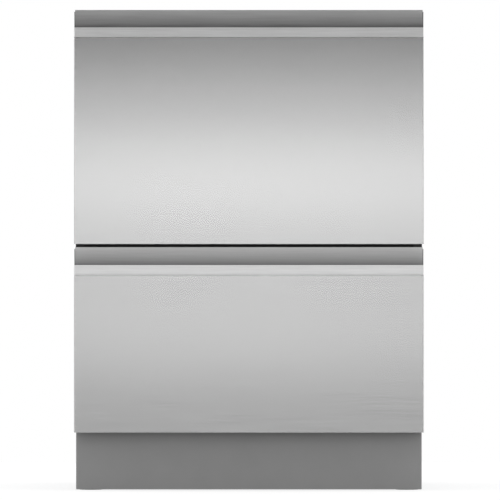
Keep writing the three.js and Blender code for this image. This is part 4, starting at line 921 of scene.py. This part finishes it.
# %% Lengths of the edge seal
low, high = limits("left_side_panel", "cabinet")
SEAL_X = (high.x, low.x - 0.8)
SEAL_FRONT, SEAL_BACK = low.y - 1.3, low.y - 0.05
NOTCH_ROOM = 4
runner_low, runner_high = limits("lower_left_runner_outer", "lower")
notches = []
for module in MODULES:
    foot = FOOT[module] / MM
    notches += [foot + runner_low.z - NOTCH_ROOM, foot + runner_high.z + NOTCH_ROOM]
ends = [FOOT["lower"] / MM, *notches, high.z]
lengths = list(zip(ends[0::2], ends[1::2]))
print("seal lengths in mm:", [(round(a), round(b)) for a, b in lengths])

# %% Edge seal
SECTION_STEPS = 12
FULLNESS = 0.5


def seal_section(side):
    """The section of the seal, seen from above, on one side of the cabinet."""
    inner, outer = (side * abs(x) for x in SEAL_X)
    middle, reach = (inner + outer) / 2, abs(outer - inner) / 2
    bulge = []
    for step in range(SECTION_STEPS + 1):
        angle = math.pi * step / SECTION_STEPS
        depth = (SEAL_BACK - SEAL_FRONT) * math.sin(angle) ** FULLNESS
        bulge.append((middle - side * reach * math.cos(angle), SEAL_BACK - depth))
    return bulge


mesh = bmesh.new()
for side in SIDES:
    for span in lengths:
        thicken(mesh, seal_section(side), span, at("cabinet", 0, 0, 0))
data = finished_mesh("edge_seal", mesh)
edge_seal = piece("edge_seal", data, seal_rubber, "seal_rubber", "cabinet")
soften(edge_seal, 0.1)
print("seal thickness in mm:", round(SEAL_BACK - SEAL_FRONT, 2))

# %% [markdown]
# ## Screws of the cabinet
# The sheets are held by screws: along the edges of the back, at the ends of the rails, and through
# the sides where the runners and the lid actuators are fixed. A low pan head with a six lobed
# socket is a turned shape whose inner rings have lobes. All heads are one piece of the cabinet. The
# rows follow the rails, runners and actuators, so each head sits on what it holds.

# %% Places of the screws
low, high = limits("left_side_panel", "cabinet")
rail = limits("middle_rail", "cabinet")
actuator = limits("lower_left_lid_actuator", "lower")
RAIL_Y, TOP_ROW, MIDDLE_ROW = 53, high.z - 9, (rail[0].z + rail[1].z) / 2
BASE_Y, BASE_ROW = (100, 320, 540), 74
RUNNER_ROW = (runner_low.z + runner_high.z) / 2
runner_y = [runner_low.y + share * (runner_high.y - runner_low.y) for share in (0.06, 0.5, 0.94)]
ACTUATOR_Y, ACTUATOR_INSETS = actuator[0].y + 7, (10, -10)
BACK_ROWS = [115 + 98 * k for k in range(8)]
TOP_Y = (130, 320, 510)
EDGE_INSET = 7

fixings = [(RAIL_Y, TOP_ROW), (RAIL_Y, MIDDLE_ROW), *((y, BASE_ROW) for y in BASE_Y)]
for module in MODULES:
    foot = FOOT[module] / MM
    fixings += [(y, foot + RUNNER_ROW) for y in runner_y]
    fixings += [(ACTUATOR_Y, foot + end.z + inset) for end, inset in zip(actuator, ACTUATOR_INSETS)]
print("screws in each side:", len(fixings))

# %% Screws
HEAD = [
    (3.9, 0, 0),
    (3.9, 0.35, 0),
    (3.4, 0.9, 0),
    (2.2, 1.2, 0),
    (1.5, 1.22, 0.28),
    (1.4, 0.45, 0.28),
]
back_face = limits("rear_panel", "cabinet")[1].y
facing_back = Matrix.Rotation(-math.pi / 2, 4, "X")

mesh = bmesh.new()
for side in SIDES:
    outwards = Matrix.Rotation(side * math.pi / 2, 4, "Y")
    face = side * abs(low.x)
    for y, z in fixings:
        turn(mesh, HEAD, at("cabinet", face, y, z) @ outwards)
    edge = face - side * EDGE_INSET
    for z in BACK_ROWS:
        turn(mesh, HEAD, at("cabinet", edge, back_face, z) @ facing_back)
    for y in TOP_Y:
        turn(mesh, HEAD, at("cabinet", edge, y, high.z))
data = finished_mesh("cabinet_screws", mesh)
screws = piece("cabinet_screws", data, zinc_sheet, "galvanised", "cabinet")
screws.modifiers.new("shading", "NODES").node_group = merge_and_smooth
print("screw heads:", len(SIDES) * (len(fixings) + len(BACK_ROWS) + len(TOP_Y)))

# %% [markdown]
# ## The camera
# The photograph is taken square on to the fronts, from half their height, with a very long lens:
# the toe kick, which stands 52 mm further back, is hardly smaller than the fronts. Its picture is
# 855 mm wide at the fronts. From 16 m away that needs a focal length of 674 mm on a 36 mm sensor.
# The machine isn't quite in the middle of the picture, so the camera stands 2 mm to one side.

# %% Camera
SENSOR_MM = 36
DISTANCE = 16.0
PICTURE_WIDTH = 0.8552
VIEW_HEIGHT = 0.4117
VIEW_SIDE = 0.0019

lens = bpy.data.cameras.new("camera")
lens.sensor_width = SENSOR_MM
lens.lens = SENSOR_MM * DISTANCE / PICTURE_WIDTH
lens.clip_start = 0.1
lens.clip_end = 100
camera = bpy.data.objects.new("camera", lens)
camera.location = (VIEW_SIDE, FRONT - DISTANCE, VIEW_HEIGHT)
camera.rotation_euler = (math.radians(90), 0, 0)
bpy.context.scene.collection.objects.link(camera)
bpy.context.scene.camera = camera
print("focal length in mm:", round(lens.lens))

# %% [markdown]
# ## The studio
# Metal shows its surroundings, so what stands round the machine shapes its fronts. The camera, and
# any metal or glass, sees a white studio. Only straight behind the camera is the room dark, as it
# is behind a photographer, and there a bank of strip lamps hangs at set heights. In the brushed
# fronts they run together into one soft band, brightest at the foot of the upper drawer. Each strip
# has a grid, so that it lights the fronts and not the floor, and none overlaps another, because
# lamps that overlap hide part of each other. Light that falls on matt surfaces comes evenly from
# all round, and four large soft lamps give it some direction. Light Path tells the rays apart:
# those of the camera, the mirrored ones and all others.

# %% World
ROOM_FILL = 0.8
ROOM_WALLS = 1.0
DARK_CONE = (-0.97, -0.75)

scene = bpy.context.scene
scene.view_settings.view_transform = "Standard"
world = bpy.data.worlds.new("studio")
world.use_nodes = True
scene.world = world
tree = world.node_tree
tree.nodes.clear()
direction = add(tree, "ShaderNodeTexCoord").outputs["Generated"]
along = add(tree, "ShaderNodeSeparateXYZ", {0: direction})
cone = {"Value": along.outputs["Y"], "From Min": DARK_CONE[0], "From Max": DARK_CONE[1]}
cone["To Max"] = ROOM_WALLS
brightness = add(tree, "ShaderNodeMapRange", cone, interpolation_type="SMOOTHSTEP")
ray = add(tree, "ShaderNodeLightPath")
fill = add(tree, "ShaderNodeBackground", {"Strength": ROOM_FILL})
walls = add(tree, "ShaderNodeBackground", {"Strength": brightness.outputs[0]})
white = add(tree, "ShaderNodeBackground", {"Color": (1, 1, 1, 1), "Strength": 1.0})
kinds = {0: ray.outputs["Is Glossy Ray"], 1: ray.outputs["Is Transmission Ray"]}
mirrored = add(tree, "ShaderNodeMath", kinds, operation="MAXIMUM")
around = {0: mirrored.outputs[0], 1: fill.outputs[0], 2: walls.outputs[0]}
room = add(tree, "ShaderNodeMixShader", around)
seen = {0: ray.outputs["Is Camera Ray"], 1: room.outputs[0], 2: white.outputs[0]}
studio = add(tree, "ShaderNodeMixShader", seen)
add(tree, "ShaderNodeOutputWorld", {"Surface": studio.outputs[0]})
print("even light from all round:", ROOM_FILL)


# %% Lamps
def soft_lamp(name, centre, size, watts, aim=None, spread=180):
    """A soft lamp, size metres wide and high, that the camera doesn't see; spread is in degrees."""
    data = bpy.data.lights.new(name, "AREA")
    data.shape = "RECTANGLE"
    data.size, data.size_y = size
    data.energy = watts
    data.spread = math.radians(spread)
    lamp = bpy.data.objects.new(name, data)
    lamp.location = centre
    towards = Vector(aim or (0, 0, centre[2])) - Vector(centre)
    lamp.rotation_euler = towards.to_track_quat("-Z", "Y").to_euler()
    lamp.visible_camera = False
    scene.collection.objects.link(lamp)


LAMP_GAP = 1.25
STRIP = (3.0, 0.12)
STRIPS = {0.72: 0.161, 0.54: 0.443, 0.36: 0.132, 0.24: 0.242}
GRID = 70
for height, watts in STRIPS.items():
    place = (0, FRONT - LAMP_GAP, height)
    soft_lamp(f"strip_{round(height * 100)}", place, STRIP, watts, spread=GRID)

MIDDLE = (0, 0, 0.4)
TOP_SIZE, SIDE_SIZE = (2.2, 2.2), (1.6, 1.6)
ROOM_LAMPS = {
    "top_lamp": ((0, -0.3, 2.4), TOP_SIZE, 11),
    "left_lamp": ((-2.4, 0.2, 0.9), SIDE_SIZE, 9),
    "right_lamp": ((2.4, 0.2, 0.9), SIDE_SIZE, 9),
    "back_lamp": ((0, 2.6, 0.9), SIDE_SIZE, 9),
}
for name, (place, size, watts) in ROOM_LAMPS.items():
    soft_lamp(name, place, size, watts, MIDDLE)

# %% [markdown]
# ## The floor
# The floor is a plain pale sheet. To the camera and in reflections it adds a glow of its own to its
# paint, so it runs into the white background without an edge, and keeps a faint shadow under the
# machine. Light that bounces off it meets the paint alone, so the floor throws no more light on the
# machine than a real one. Its underside is clear, so the machine can also be looked at from below.

# %% Floor
GLOW = 0.7
FLOOR_PAINT = "#a8a8a8"
FLOOR_HALF = 1.8
floor_mesh = bpy.data.meshes.new("floor")
corners = [(-1, -1), (1, -1), (1, 1), (-1, 1)]
floor_mesh.from_pydata([(x * FLOOR_HALF, y * FLOOR_HALF, 0) for x, y in corners], [], [range(4)])
floor = bpy.data.objects.new("floor", floor_mesh)
scene.collection.objects.link(floor)

floor_finish = blank_material("pale_floor")
tree = floor_finish.node_tree
paint = add(tree, "ShaderNodeBsdfDiffuse", {"Color": linear(FLOOR_PAINT)})
glow = add(tree, "ShaderNodeEmission", {"Strength": GLOW})
bright = add(tree, "ShaderNodeAddShader", {0: paint.outputs[0], 1: glow.outputs[0]})
ray = add(tree, "ShaderNodeLightPath")
kinds = {0: ray.outputs["Is Glossy Ray"], 1: ray.outputs["Is Transmission Ray"]}
mirrored = add(tree, "ShaderNodeMath", kinds, operation="MAXIMUM")
watched = {0: ray.outputs["Is Camera Ray"], 1: mirrored.outputs[0]}
shown = add(tree, "ShaderNodeMath", watched, operation="MAXIMUM")
faces = {0: shown.outputs[0], 1: paint.outputs[0], 2: bright.outputs[0]}
top = add(tree, "ShaderNodeMixShader", faces)
clear = add(tree, "ShaderNodeBsdfTransparent")
underside = add(tree, "ShaderNodeNewGeometry").outputs["Backfacing"]
sheet = add(tree, "ShaderNodeMixShader", {0: underside, 1: top.outputs[0], 2: clear.outputs[0]})
add(tree, "ShaderNodeOutputMaterial", {"Surface": sheet.outputs[0]})
floor_mesh.materials.append(floor_finish)
print("floor in metres:", 2 * FLOOR_HALF, "square")
